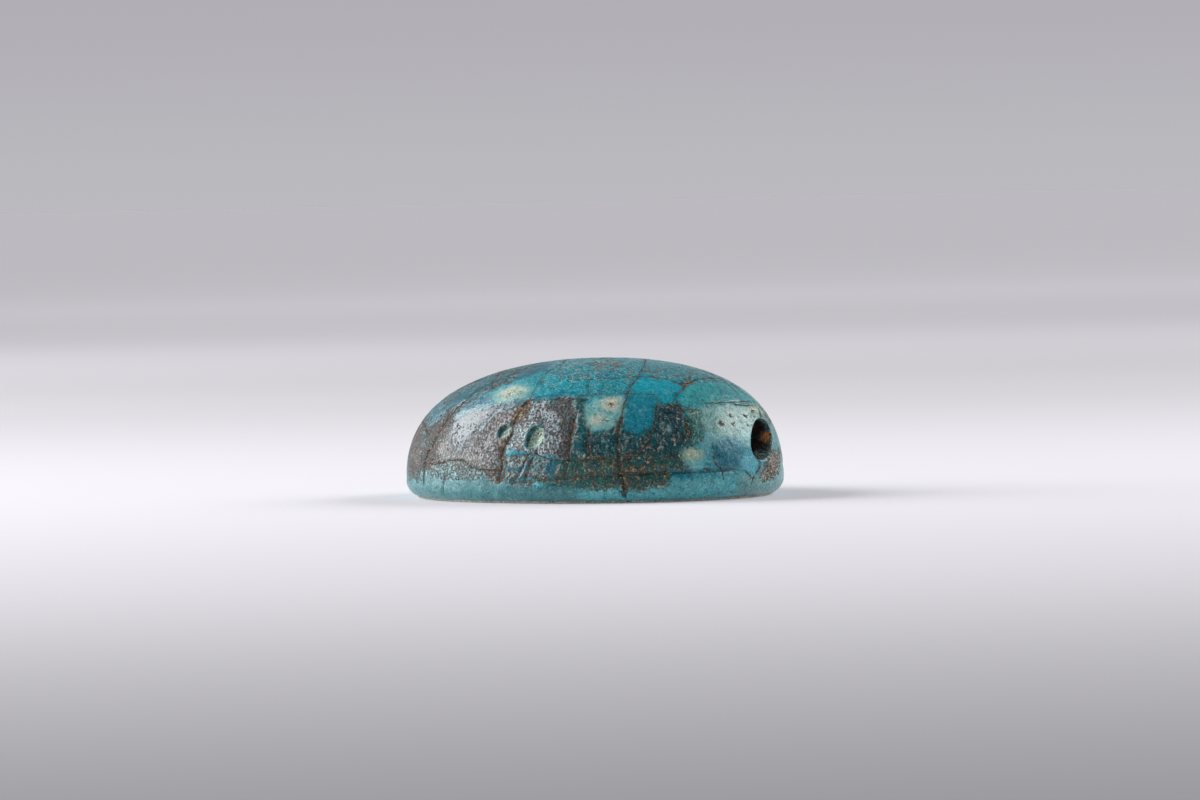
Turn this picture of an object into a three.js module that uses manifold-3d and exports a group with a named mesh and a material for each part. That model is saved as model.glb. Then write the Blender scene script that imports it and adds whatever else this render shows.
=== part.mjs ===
/*
  A cowroid seal: an oval bead of glazed stone with a domed back, a flat engraved base and a
  string hole bored through its length.
  Millimetres, +Z up from the base, +X along the string hole. The origin is the middle of the base.
*/
import * as THREE from 'three';
import { ParametricGeometry } from 'three/addons/geometries/ParametricGeometry.js';
import { mergeVertices } from 'three/addons/utils/BufferGeometryUtils.js';
import Module from 'manifold-3d';

// Overall sizes
const LENGTH = 18.0;
const WIDTH = 13.0;
const HEIGHT = 6.11;

// The form of the plan and of the domed back. A power of 2 is an ellipse, and more is squarer
const PLAN_POWER = 2.04;
const RISE_POWER = 3.07;
const SPREAD_POWER = 2.13;

// The crest leans towards one end of the string hole, mostly near the top
const CREST_LEAN = 0.54;
const LEAN_POWER = 3.07;

// The rounding where the back turns under to the base
const FOOT_RADIUS_SIDES = 0.5;
const FOOT_RADIUS_ENDS = 0.85;

// The incised line that parts the back from the foot. It climbs towards the leaning end,
// between two values of the cosine of the angle round the plan
const GROOVE_HEIGHT = 0.9;
const GROOVE_CLIMB = 0.4;
const CLIMB_START = -0.1;
const CLIMB_END = 0.85;
const GROOVE_WIDTH = 0.2;
const GROOVE_DEPTH = 0.07;

// The string hole and its worn lip
const BORE_DIAMETER = 1.7;
const BORE_HEIGHT = 2.5;
const BORE_LIP = 0.14;

// The engraving of the base
const ENGRAVING_DEPTH = 0.25;
const ENGRAVING_TAPER = 0.07;
const BORDER_INSET = 1.4;
const BORDER_WIDTH = 0.35;
const RING_RADIUS = 1.35;
const RING_LINE = 0.35;
const RING_TO_BORDER = 0.95;
const DOT_DIAMETER = 0.75;
const PETAL_COUNT = 4;
const PETAL_LENGTH = 2.7;
const PETAL_WIDTH = 1.15;
const PETAL_START = 0.9;
const SIDE_DOT_TO_BORDER = 0.85;

// Small hollows in the glaze: the angle round the plan in degrees, the height, and the size
const HOLLOWS = [
  { angle: -79.9, height: 2.89, length: 1.1, width: 0.56, depth: 0.14, slant: 55 },
  { angle: -95.3, height: 3.11, length: 0.72, width: 0.4, depth: 0.12, slant: 45 },
  { angle: -29.9, height: 3.16, length: 0.5, width: 0.5, depth: 0.1, slant: 0 },
];

// How finely the curved faces are divided
const PLAN_STEPS = 72;
const FOOT_STEPS = 4;
const BACK_STEPS = 20;
const BORE_STEPS = 32;
const RING_STEPS = 28;
const DOT_STEPS = 14;
const PETAL_STEPS = 8;
const HOLLOW_STEPS_ROUND = 14;
const HOLLOW_STEPS_DOWN = 8;

// How far a cutting tool runs past the face that it cuts
const OVERRUN = 0.5;

// Corners closer than this are one corner
const MERGE_DISTANCE = 1e-5;

// The step between two points of the back that its slope is taken from
const SLOPE_STEP = 0.01;

const wasm = await Module();
wasm.setup();

// Turns a closed geometry into a solid that can be joined and cut
function toSolid(geometry) {
  const bare = geometry.clone();
  bare.deleteAttribute('normal');
  bare.deleteAttribute('uv');
  const merged = mergeVertices(bare, MERGE_DISTANCE);
  const corners = merged.index.array;
  const triangles = [];
  for (let first = 0; first < corners.length; first += 3) {
    const [a, b, c] = corners.slice(first, first + 3);
    if (a !== b && b !== c && c !== a) {
      triangles.push(a, b, c);
    }
  }
  return new wasm.Manifold(new wasm.Mesh({
    numProp: 3,
    vertProperties: new Float32Array(merged.attributes.position.array),
    triVerts: new Uint32Array(triangles),
  }));
}

// Turns a solid back into a geometry with flat facets
function toGeometry(solid) {
  const mesh = solid.getMesh();
  const geometry = new THREE.BufferGeometry();
  geometry.setAttribute('position', new THREE.BufferAttribute(mesh.vertProperties, 3));
  geometry.setIndex(new THREE.BufferAttribute(mesh.triVerts, 1));
  const faceted = geometry.toNonIndexed();
  faceted.computeVertexNormals();
  return faceted;
}

// The distance from the middle to the plan outline, at an angle round it
function planRadius(angle) {
  const alongX = Math.abs(Math.cos(angle) / (LENGTH / 2)) ** PLAN_POWER;
  const alongY = Math.abs(Math.sin(angle) / (WIDTH / 2)) ** PLAN_POWER;
  return (alongX + alongY) ** (-1 / PLAN_POWER);
}

// The share of the plan that is left at a height
function planShare(height) {
  const rise = Math.min(Math.max(height / HEIGHT, 0), 1) ** (RISE_POWER / 2);
  return Math.sqrt(1 - rise * rise) ** (2 / SPREAD_POWER);
}

// A point of the back, at an angle round the plan and a height, sunk inwards by a depth
function backPoint(angle, height, depth = 0) {
  const radius = planRadius(angle) * planShare(height) - depth;
  const lean = CREST_LEAN * (height / HEIGHT) ** LEAN_POWER;
  return new THREE.Vector3(radius * Math.cos(angle) + lean, radius * Math.sin(angle), height);
}

// The direction straight out of the back at a point of it
function backNormal(angle, height) {
  const here = backPoint(angle, height);
  const round = backPoint(angle + SLOPE_STEP, height).sub(here);
  const up = backPoint(angle, height + SLOPE_STEP).sub(here);
  return round.cross(up).normalize();
}

function footRadius(angle) {
  return FOOT_RADIUS_SIDES + (FOOT_RADIUS_ENDS - FOOT_RADIUS_SIDES) * Math.cos(angle) ** 2;
}

function grooveHeight(angle) {
  const climb = THREE.MathUtils.smoothstep(Math.cos(angle), CLIMB_START, CLIMB_END);
  return GROOVE_HEIGHT + GROOVE_CLIMB * climb;
}

// The levels that the back is built of, from the edge of the base to just under the crest.
// Each one gives a point for an angle round the plan
function backLevels() {
  const levels = [];
  for (let step = 0; step <= FOOT_STEPS; step++) {
    const turn = (step / FOOT_STEPS) * (Math.PI / 2);
    levels.push((angle) => {
      const radius = footRadius(angle);
      return backPoint(angle, radius * (1 - Math.cos(turn)), radius * (1 - Math.sin(turn)));
    });
  }
  for (const [side, depth] of [[-0.5, 0], [0, GROOVE_DEPTH], [0.5, 0]]) {
    levels.push((angle) => backPoint(angle, grooveHeight(angle) + side * GROOVE_WIDTH, depth));
  }
  for (let step = 1; step < BACK_STEPS; step++) {
    levels.push((angle) => {
      const start = grooveHeight(angle) + GROOVE_WIDTH / 2;
      const startTurn = Math.asin((start / HEIGHT) ** (RISE_POWER / 2));
      const turn = startTurn + (Math.PI / 2 - startTurn) * (step / BACK_STEPS);
      return backPoint(angle, HEIGHT * Math.sin(turn) ** (2 / RISE_POWER));
    });
  }
  return levels;
}

// The whole bead before it is bored and engraved
function blankGeometry() {
  const levels = backLevels();
  const base = () => new THREE.Vector3(0, 0, 0);
  const crest = () => new THREE.Vector3(CREST_LEAN, 0, HEIGHT);
  const rings = [base, ...levels, crest];
  return new ParametricGeometry((u, v, target) => {
    const ring = rings[Math.round(v * (rings.length - 1))];
    target.copy(ring(((u * PLAN_STEPS) % PLAN_STEPS) * ((2 * Math.PI) / PLAN_STEPS)));
  }, PLAN_STEPS, rings.length - 1);
}

// The string hole's cutter, from beyond one end to beyond the other. Each mouth widens in two
// slopes, gentle inside and steep at the face
function boreGeometry() {
  const radius = BORE_DIAMETER / 2;
  const end = LENGTH / 2 + OVERRUN;
  const nearFace = backPoint(Math.PI, BORE_HEIGHT).x;
  const leanFace = backPoint(0, BORE_HEIGHT).x;
  const lip = (face, inwards) => [
    new THREE.Vector2(radius + BORE_LIP, face),
    new THREE.Vector2(radius + BORE_LIP / 4, face + inwards * BORE_LIP / 2),
    new THREE.Vector2(radius, face + inwards * BORE_LIP * 1.5),
  ];
  const profile = [
    new THREE.Vector2(0, -end),
    new THREE.Vector2(radius + BORE_LIP, -end),
    ...lip(nearFace, 1),
    ...lip(leanFace, -1).reverse(),
    new THREE.Vector2(radius + BORE_LIP, end),
    new THREE.Vector2(0, end),
  ];
  const geometry = new THREE.LatheGeometry(profile, BORE_STEPS);
  geometry.rotateZ(-Math.PI / 2);
  geometry.translate(0, 0, BORE_HEIGHT);
  return geometry;
}

// The half section of an engraved line: straight below the base, then narrowing to its floor
function lineSection(middle, width) {
  return [
    [middle - width / 2, -OVERRUN],
    [middle + width / 2, -OVERRUN],
    [middle + width / 2, 0],
    [middle + width / 2 - ENGRAVING_TAPER, ENGRAVING_DEPTH],
    [middle - width / 2 + ENGRAVING_TAPER, ENGRAVING_DEPTH],
    [middle - width / 2, 0],
    [middle - width / 2, -OVERRUN],
  ];
}

// The border line, at the same distance inside the plan outline all the way round
function borderGeometry() {
  const section = lineSection(-BORDER_INSET, BORDER_WIDTH);
  return new ParametricGeometry((u, v, target) => {
    const angle = ((u * PLAN_STEPS) % PLAN_STEPS) * ((2 * Math.PI) / PLAN_STEPS);
    const [offset, height] = section[Math.round(v * (section.length - 1))];
    const radius = planRadius(angle) + offset;
    target.set(radius * Math.cos(angle), radius * Math.sin(angle), height);
  }, PLAN_STEPS, section.length - 1);
}

// A ring line round a point of the base
function ringGeometry(x, y) {
  const profile = lineSection(RING_RADIUS, RING_LINE).map(([r, z]) => new THREE.Vector2(r, z));
  const geometry = new THREE.LatheGeometry(profile, RING_STEPS);
  geometry.rotateX(Math.PI / 2);
  geometry.translate(x, y, 0);
  return geometry;
}

// A round dot with sloping walls
function dotGeometry(x, y) {
  const radius = DOT_DIAMETER / 2;
  const profile = [
    new THREE.Vector2(0, -OVERRUN),
    new THREE.Vector2(radius, -OVERRUN),
    new THREE.Vector2(radius, 0),
    new THREE.Vector2(radius - ENGRAVING_TAPER, ENGRAVING_DEPTH),
    new THREE.Vector2(0, ENGRAVING_DEPTH),
  ];
  const geometry = new THREE.LatheGeometry(profile, DOT_STEPS);
  geometry.rotateX(Math.PI / 2);
  geometry.translate(x, y, 0);
  return geometry;
}

// A pointed petal between two arcs, running outwards from the flat middle of the base
function petalGeometry(angle) {
  const halfLength = PETAL_LENGTH / 2;
  const halfWidth = PETAL_WIDTH / 2;
  const arcRadius = (halfLength ** 2 + halfWidth ** 2) / (2 * halfWidth);
  const arcHalf = Math.asin(halfLength / arcRadius);
  const outline = [];
  for (const side of [1, -1]) {
    for (let step = 0; step < PETAL_STEPS; step++) {
      const turn = side * arcHalf * (1 - (2 * step) / PETAL_STEPS);
      outline.push(new THREE.Vector2(
        arcRadius * Math.sin(turn),
        side * (arcRadius * Math.cos(turn) - arcRadius + halfWidth),
      ));
    }
  }
  const geometry = new THREE.ExtrudeGeometry(new THREE.Shape(outline), {
    depth: OVERRUN + ENGRAVING_DEPTH,
    bevelEnabled: false,
  });
  geometry.translate(PETAL_START + halfLength, 0, -OVERRUN);
  geometry.rotateZ(angle);
  return geometry;
}

// The cutters of the base's design: a border, a ringed dot at each end, petals round a flat
// middle, and a dot at each side
function engravingCutters() {
  const lineInside = BORDER_INSET + BORDER_WIDTH / 2;
  const ringX = LENGTH / 2 - lineInside - RING_TO_BORDER - RING_RADIUS - RING_LINE / 2;
  const dotY = WIDTH / 2 - lineInside - SIDE_DOT_TO_BORDER - DOT_DIAMETER / 2;
  const cutters = [borderGeometry()];
  for (const side of [-1, 1]) {
    cutters.push(ringGeometry(side * ringX, 0));
    cutters.push(dotGeometry(side * ringX, 0));
    cutters.push(dotGeometry(0, side * dotY));
  }
  for (let petal = 0; petal < PETAL_COUNT; petal++) {
    cutters.push(petalGeometry(((petal + 0.5) / PETAL_COUNT) * 2 * Math.PI));
  }
  return cutters;
}

// The cutter of a small hollow: an oval bowl lying on the back, its long axis turned by a slant
function hollowGeometry({ angle, height, length, width, depth, slant }) {
  const round = THREE.MathUtils.degToRad(angle);
  const outwards = backNormal(round, height);
  const sideways = new THREE.Vector3(0, 0, 1).cross(outwards).normalize();
  const upwards = outwards.clone().cross(sideways);
  const turn = THREE.MathUtils.degToRad(slant);
  const longAxis = sideways.clone().multiplyScalar(Math.cos(turn));
  longAxis.addScaledVector(upwards, Math.sin(turn));
  const shortAxis = outwards.clone().cross(longAxis);
  const geometry = new THREE.SphereGeometry(1, HOLLOW_STEPS_ROUND, HOLLOW_STEPS_DOWN);
  geometry.scale(length / 2, width / 2, depth);
  geometry.applyMatrix4(new THREE.Matrix4().makeBasis(longAxis, shortAxis, outwards));
  const place = backPoint(round, height);
  geometry.translate(place.x, place.y, place.z);
  return geometry;
}

function sealSolid() {
  const cutters = [boreGeometry(), ...engravingCutters(), ...HOLLOWS.map(hollowGeometry)];
  let solid = toSolid(blankGeometry());
  for (const cutter of cutters) {
    solid = solid.subtract(toSolid(cutter));
  }
  return solid;
}

const glaze = new THREE.MeshStandardMaterial({ color: 0x2b8a97, roughness: 0.35, metalness: 0 });

const seal = new THREE.Mesh(toGeometry(sealSolid()), glaze);
seal.name = 'cowroid_seal';

const part = new THREE.Group();
part.add(seal);

export default part;
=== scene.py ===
"""The looks of a worn cowroid seal: cracked turquoise glaze on a domed stone bead."""

from __future__ import annotations

import itertools
import logging
import math
from dataclasses import dataclass
from enum import Enum

import bpy
import numpy as np
from mathutils import Matrix, Vector

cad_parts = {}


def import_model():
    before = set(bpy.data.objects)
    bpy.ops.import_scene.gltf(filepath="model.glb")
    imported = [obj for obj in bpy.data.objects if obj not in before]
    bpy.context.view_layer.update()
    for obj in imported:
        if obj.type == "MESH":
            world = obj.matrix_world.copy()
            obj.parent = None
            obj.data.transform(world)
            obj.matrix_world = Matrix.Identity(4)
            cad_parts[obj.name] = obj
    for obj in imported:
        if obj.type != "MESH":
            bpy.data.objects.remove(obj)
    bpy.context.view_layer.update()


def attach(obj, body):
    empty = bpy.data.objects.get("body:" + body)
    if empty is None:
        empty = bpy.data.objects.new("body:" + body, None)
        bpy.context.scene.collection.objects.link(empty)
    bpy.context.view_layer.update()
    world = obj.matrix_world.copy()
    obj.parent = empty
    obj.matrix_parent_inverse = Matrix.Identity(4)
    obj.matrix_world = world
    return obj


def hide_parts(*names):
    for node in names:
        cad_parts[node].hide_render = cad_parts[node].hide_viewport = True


LOG = logging.getLogger("cowroid_seal")

Array = np.ndarray
Pixel = tuple[float, float]
Colour = tuple[float, float, float]

NODE = "cowroid_seal"

# One millimetre in the scene's metres
MM = 0.001

# The share of the height just under the crest, where the plan is still more than a point
UNDER_CREST = 0.9999


def linear(colour: Colour) -> Colour:
    """Turns a screen colour into the linear one that the shaders take.

    Args:
        colour: Red, green and blue from 0 to 255, as a screen shows them.

    Returns:
        The same colour in linear light, from 0 to 1.
    """
    shares = (channel / 255 for channel in colour)
    return tuple(s / 12.92 if s <= 0.04045 else ((s + 0.055) / 1.055) ** 2.4 for s in shares)


def soft_step(low: float, high: float, value: Array) -> Array:
    """Rises smoothly from 0 to 1 between two values.

    Args:
        low: The value where the rise starts.
        high: The value where it ends.
        value: The values to look up.

    Returns:
        A share from 0 to 1 for each value.
    """
    share = np.clip((value - low) / (high - low), 0, 1)
    return share * share * (3 - 2 * share)


def value_noise(points: Array, scale: float, seed: int) -> Array:
    """Gives smooth seeded noise in space.

    Args:
        points: Places, one row each.
        scale: How many bumps there are to one unit of length.
        seed: Picks the pattern.

    Returns:
        A value from -1 to 1 for each place.
    """
    at = points * scale
    cell = np.floor(at).astype(np.int64)
    share = at - cell
    smooth = share * share * (3 - 2 * share)
    total = np.zeros(len(points))
    for corner in itertools.product((0, 1), repeat=3):
        key = cell + np.array(corner)
        mixed = (key[:, 0] * 73856093) ^ (key[:, 1] * 19349663) ^ (key[:, 2] * 83492791) ^ (seed * 2654435761)
        mixed = (mixed ^ (mixed >> 13)) * 1274126177
        mixed = (mixed ^ (mixed >> 16)) & 0xFFFFFF
        weight = np.prod(np.where(np.array(corner) == 1, smooth, 1 - smooth), axis=1)
        total += weight * (mixed / 0x7FFFFF - 1)
    return total


def rough_noise(points: Array, scale: float, seed: int, octaves: int = 3) -> Array:
    """Adds finer and finer noise, each half as strong as the one before.

    Args:
        points: Places, one row each.
        scale: How many of the largest bumps there are to one unit of length.
        seed: Picks the pattern.
        octaves: How many layers are added.

    Returns:
        A value from about -1 to 1 for each place.
    """
    layers = range(octaves)
    total = sum(value_noise(points, scale * 2**n, seed + n) / 2**n for n in layers)
    return total / sum(1 / 2**n for n in layers)


def smooth_route(corners: Array, step: float) -> Array:
    """Runs a smooth curve through a few corners.

    Args:
        corners: The corners in order, one row each.
        step: The distance between the points of the result, in the corners' unit.

    Returns:
        Points along the curve, one row each.
    """
    ends = np.vstack([2 * corners[0] - corners[1], corners, 2 * corners[-1] - corners[-2]])
    parts = []
    for a, b, c, d in zip(ends, ends[1:], ends[2:], ends[3:]):
        count = max(2, math.ceil(float(np.linalg.norm(c - b)) / step))
        t = np.linspace(0, 1, count, endpoint=False)[:, None]
        curve = (2 * b + (c - a) * t + (2 * a - 5 * b + 4 * c - d) * t**2
                 + (3 * b - a - 3 * c + d) * t**3) / 2
        parts.append(curve)
    return np.vstack([*parts, corners[-1:]])


@dataclass(frozen=True)
class SealForm:
    """The seal's sizes in millimetres, and the rules that its back and its engraving follow."""

    length: float = 18.0
    width: float = 13.0
    height: float = 6.11
    plan_power: float = 2.04
    rise_power: float = 3.07
    spread_power: float = 2.13
    crest_lean: float = 0.54
    lean_power: float = 3.07
    foot_radius_sides: float = 0.5
    foot_radius_ends: float = 0.85
    groove_height: float = 0.9
    groove_climb: float = 0.4
    groove_width: float = 0.2
    groove_depth: float = 0.07
    bore_diameter: float = 1.7
    bore_height: float = 2.5
    bore_lip: float = 0.14

    def plan_radius(self, bearing: Array) -> Array:
        """Gives the distance from the middle to the plan outline at each bearing."""
        along = np.abs(np.cos(bearing) / (self.length / 2)) ** self.plan_power
        across = np.abs(np.sin(bearing) / (self.width / 2)) ** self.plan_power
        return (along + across) ** (-1 / self.plan_power)

    def plan_share(self, height: Array) -> Array:
        """Gives the share of the plan that is left at each height."""
        rise = np.clip(height / self.height, 0, 1) ** self.rise_power
        return np.sqrt(1 - rise) ** (2 / self.spread_power)

    def lean(self, height: Array) -> Array:
        """Gives how far the back leans over at each height."""
        return self.crest_lean * np.clip(height / self.height, 0, 1) ** self.lean_power

    def back_point(self, bearing: Array, height: Array) -> Array:
        """Gives the point of the back at each bearing and height.

        Args:
            bearing: Angles round the plan in radians, from +X towards +Y.
            height: Heights above the base.

        Returns:
            One row of x, y and z for each.
        """
        radius = self.plan_radius(bearing) * self.plan_share(height)
        x = radius * np.cos(bearing) + self.lean(height)
        return np.stack([x, radius * np.sin(bearing), height], axis=-1)

    def dial_point(self, bearing: Array, rise: Array) -> Array:
        """Gives the point of the back at each bearing and rise, both in degrees.

        Args:
            bearing: Angles round the plan, 0 at the end that the crest leans to.
            rise: 0 at the base and 90 at the crest.

        Returns:
            One row of x, y and z for each.
        """
        height = self.height * np.sin(np.radians(rise)) ** (2 / self.rise_power)
        return self.back_point(np.radians(bearing), height)

    def outside(self, points: Array) -> Array:
        """Tells how far places lie outside the back, as a share of the plan there.

        Args:
            points: Places, one row each.

        Returns:
            Less than 0 inside and more than 0 outside.
        """
        height = points[..., 2]
        share = np.maximum(self.plan_share(height), 1e-6)
        x = points[..., 0] - self.lean(height)
        along = np.abs(x / (self.length / 2 * share)) ** self.plan_power
        across = np.abs(points[..., 1] / (self.width / 2 * share)) ** self.plan_power
        reach = (along + across) ** (1 / self.plan_power) - 1
        return np.where((height <= 0) | (height >= self.height), 1.0, reach)

    def groove_line(self, bearing: Array) -> Array:
        """Gives the height of the incised line above the foot at each bearing."""
        return self.groove_height + self.groove_climb * soft_step(-0.1, 0.85, np.cos(bearing))


@dataclass(frozen=True)
class PhotoView:
    """Where the camera stands, with the photograph's own pixels, 1200 by 800."""

    azimuth: float = 33.5
    elevation: float = 2.97
    roll: float = 1.34
    distance: float = 260.0
    focal: float = 5894.0
    foot_pixel: Pixel = (594.1, 495.5)
    middle_pixel: Pixel = (600.0, 400.0)
    image_width: float = 1200.0
    sensor_width: float = 36.0

    def axes(self) -> tuple[Array, Array, Array]:
        """Gives the directions to the right, up and towards the camera, before its roll."""
        azimuth, elevation = math.radians(self.azimuth), math.radians(self.elevation)
        right = np.array([math.cos(azimuth), math.sin(azimuth), 0])
        flat = np.array([math.sin(azimuth), -math.cos(azimuth), 0])
        upright = np.array([0, 0, 1])
        toward = flat * math.cos(elevation) + upright * math.sin(elevation)
        up = upright * math.cos(elevation) - flat * math.sin(elevation)
        return right, up, toward

    def pixels(self, points: Array) -> Array:
        """Finds where places show in the photograph.

        Args:
            points: Places in millimetres, one row each.

        Returns:
            One row of pixel coordinates for each.
        """
        right, up, toward = self.axes()
        depth = self.distance - points @ toward
        u = self.focal * (points @ right) / depth
        v = -self.focal * (points @ up) / depth
        c, s = math.cos(math.radians(self.roll)), math.sin(math.radians(self.roll))
        return np.stack([self.foot_pixel[0] + u * c + v * s, self.foot_pixel[1] - u * s + v * c], axis=-1)

    def rays(self, pixels: Array) -> Array:
        """Gives the direction that each pixel looks in.

        Args:
            pixels: Pixel coordinates, one row each.

        Returns:
            One direction for each, a unit long towards the seal.
        """
        right, up, toward = self.axes()
        across = pixels[:, 0] - self.foot_pixel[0]
        down = pixels[:, 1] - self.foot_pixel[1]
        c, s = math.cos(math.radians(self.roll)), math.sin(math.radians(self.roll))
        u = (across * c - down * s) / self.focal
        v = (across * s + down * c) / self.focal
        return -toward + np.outer(u, right) - np.outer(v, up)

    def land(self, pixels: Array, form: SealForm) -> Array:
        """Finds the points of the back that pixels show.

        Args:
            pixels: Pixel coordinates, one row each.
            form: The seal.

        Returns:
            One point of the back for each. A pixel just off the seal gives its nearest edge.
        """
        toward = self.axes()[2]
        directions = self.rays(pixels)
        steps = np.linspace(self.distance - form.length, self.distance + form.length, 900)
        places = self.distance * toward + steps[None, :, None] * directions[:, None, :]
        reach = form.outside(places)
        hits = reach <= 0
        first = np.where(hits.any(axis=1), hits.argmax(axis=1), reach.argmin(axis=1))
        near, far = steps[np.maximum(first - 1, 0)], steps[first]
        for _ in range(24):
            middle = (near + far) / 2
            out = form.outside(self.distance * toward + middle[:, None] * directions) > 0
            near, far = np.where(out, middle, near), np.where(out, far, middle)
        found = self.distance * toward + far[:, None] * directions
        height = np.clip(found[:, 2], 0, form.height * UNDER_CREST)
        bearing = np.arctan2(found[:, 1], found[:, 0] - form.lean(height))
        return np.where(hits.any(axis=1)[:, None], found, form.back_point(bearing, height))

    def make_camera(self) -> bpy.types.Object:
        """Builds the camera, aimed so that the seal stands where the photograph has it.

        Returns:
            The camera's object.
        """
        right, up, toward = self.axes()
        roll = math.radians(self.roll)
        forward = self.rays(np.array([self.middle_pixel]))[0]
        forward = Vector(forward).normalized()
        tilted = Vector(right) * math.sin(roll) + Vector(up) * math.cos(roll)
        side = forward.cross(tilted).normalized()
        top = side.cross(forward)
        data = bpy.data.cameras.new("camera")
        data.sensor_width = self.sensor_width
        data.lens = self.focal / self.image_width * self.sensor_width
        data.clip_start = 0.01
        data.clip_end = 20.0
        camera = bpy.data.objects.new("camera", data)
        turn = Matrix((side, top, -forward)).transposed()
        camera.matrix_world = Matrix.Translation(Vector(toward) * self.distance * MM) @ turn.to_4x4()
        bpy.context.scene.collection.objects.link(camera)
        bpy.context.scene.camera = camera
        return camera


class Wiring:
    """Adds nodes to one tree and joins them."""

    def __init__(self, tree: bpy.types.NodeTree) -> None:
        """Keeps the tree.

        Args:
            tree: The tree to build in.
        """
        self.tree = tree

    def add(self, kind: str, **settings: object) -> bpy.types.Node:
        """Adds a node and sets its options.

        Args:
            kind: The node's type.
            settings: Options of the node by name.

        Returns:
            The node.
        """
        node = self.tree.nodes.new(kind)
        for name, value in settings.items():
            setattr(node, name, value)
        return node

    def put(self, socket: bpy.types.NodeSocket, value: object) -> None:
        """Links a socket into an input, or sets the input to a plain value."""
        if isinstance(value, bpy.types.NodeSocket):
            self.tree.links.new(value, socket)
        else:
            socket.default_value = value

    def math(self, operation: str, *values: object) -> bpy.types.NodeSocket:
        """Works out one number from others.

        Args:
            operation: The name of the sum, such as ADD or POWER.
            values: Sockets or numbers, in order.

        Returns:
            The socket of the answer.
        """
        node = self.add("ShaderNodeMath", operation=operation)
        for socket, value in zip(node.inputs, values):
            self.put(socket, value)
        return node.outputs[0]

    def pick(self, test: object, yes: object, no: object) -> bpy.types.NodeSocket:
        """Blends from one number to another as a test goes from 0 to 1."""
        return self.math("ADD", self.math("MULTIPLY", test, yes),
                         self.math("MULTIPLY", self.math("SUBTRACT", 1.0, test), no))

    def ranged(self, value: object, low: float, high: float, start: object = 0.0,
               end: object = 1.0) -> bpy.types.NodeSocket:
        """Maps a number smoothly from one range to another.

        Args:
            value: The number.
            low: Where the first range starts.
            high: Where the first range ends.
            start: What the low end gives.
            end: What the high end gives.

        Returns:
            The socket of the mapped number.
        """
        node = self.add("ShaderNodeMapRange", interpolation_type="SMOOTHSTEP")
        for name, given in zip(("Value", "From Min", "From Max", "To Min", "To Max"),
                               (value, low, high, start, end)):
            self.put(node.inputs[name], given)
        return node.outputs["Result"]

    def blend(self, factor: object, first: object, second: object,
              mode: str = "MIX") -> bpy.types.NodeSocket:
        """Mixes two colours.

        Args:
            factor: The share of the second colour.
            first: A colour socket or a linear colour.
            second: The other one.
            mode: How they are mixed.

        Returns:
            The socket of the mixed colour.
        """
        node = self.add("ShaderNodeMix", data_type="RGBA", blend_type=mode)
        self.put(node.inputs["Factor"], factor)
        for socket, value in ((node.inputs[6], first), (node.inputs[7], second)):
            self.put(socket, (*value, 1.0) if isinstance(value, tuple) else value)
        return node.outputs[2]

    def ramp(self, factor: object, stops: tuple[tuple[float, Colour], ...]) -> bpy.types.NodeSocket:
        """Looks a number up in a row of colours.

        Args:
            factor: The number, from 0 to 1.
            stops: Positions with their linear colours, in order.

        Returns:
            The socket of the colour.
        """
        node = self.add("ShaderNodeValToRGB")
        elements = node.color_ramp.elements
        while len(elements) < len(stops):
            elements.new(0.5)
        for element, (position, colour) in zip(elements, stops):
            element.position = position
            element.color = (*colour, 1.0)
        self.put(node.inputs[0], factor)
        return node.outputs["Color"]

    def noise(self, vector: object, scale: float, detail: float = 2.0, rough: float = 0.5,
              twist: float = 0.0) -> bpy.types.NodeSocket:
        """Gives smooth noise from 0 to 1, with its scale in bumps to a millimetre."""
        node = self.add("ShaderNodeTexNoise")
        self.put(node.inputs["Vector"], vector)
        for name, value in (("Scale", scale), ("Detail", detail), ("Roughness", rough),
                            ("Distortion", twist)):
            self.put(node.inputs[name], value)
        return node.outputs["Fac"]

    def cells(self, vector: object, scale: float) -> bpy.types.NodeSocket:
        """Gives the distance to the middle of the nearest of many cells, for grains."""
        node = self.add("ShaderNodeTexVoronoi", feature="SMOOTH_F1")
        self.put(node.inputs["Vector"], vector)
        node.inputs["Scale"].default_value = scale
        node.inputs["Smoothness"].default_value = 0.25
        return node.outputs["Distance"]

    def millimetres(self, stretch: tuple[float, float, float] = (1, 1, 1)) -> bpy.types.NodeSocket:
        """Gives the place on the object in millimetres, stretched where a pattern runs one way."""
        place = self.add("ShaderNodeTexCoord").outputs["Object"]
        mapping = self.add("ShaderNodeMapping")
        self.put(mapping.inputs["Vector"], place)
        mapping.inputs["Scale"].default_value = tuple(s / MM for s in stretch)
        return mapping.outputs["Vector"]


@dataclass(frozen=True)
class BeadCells:
    """How finely the bead is divided, and where its faces of cells meet."""

    along: int = 190
    across: int = 150
    upwards: int = 36
    foot_share: float = 0.3
    shoulder: float = 3.0
    bore_sides: int = 72
    bore_rings: int = 130
    bore_overrun: float = 1.0


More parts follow.
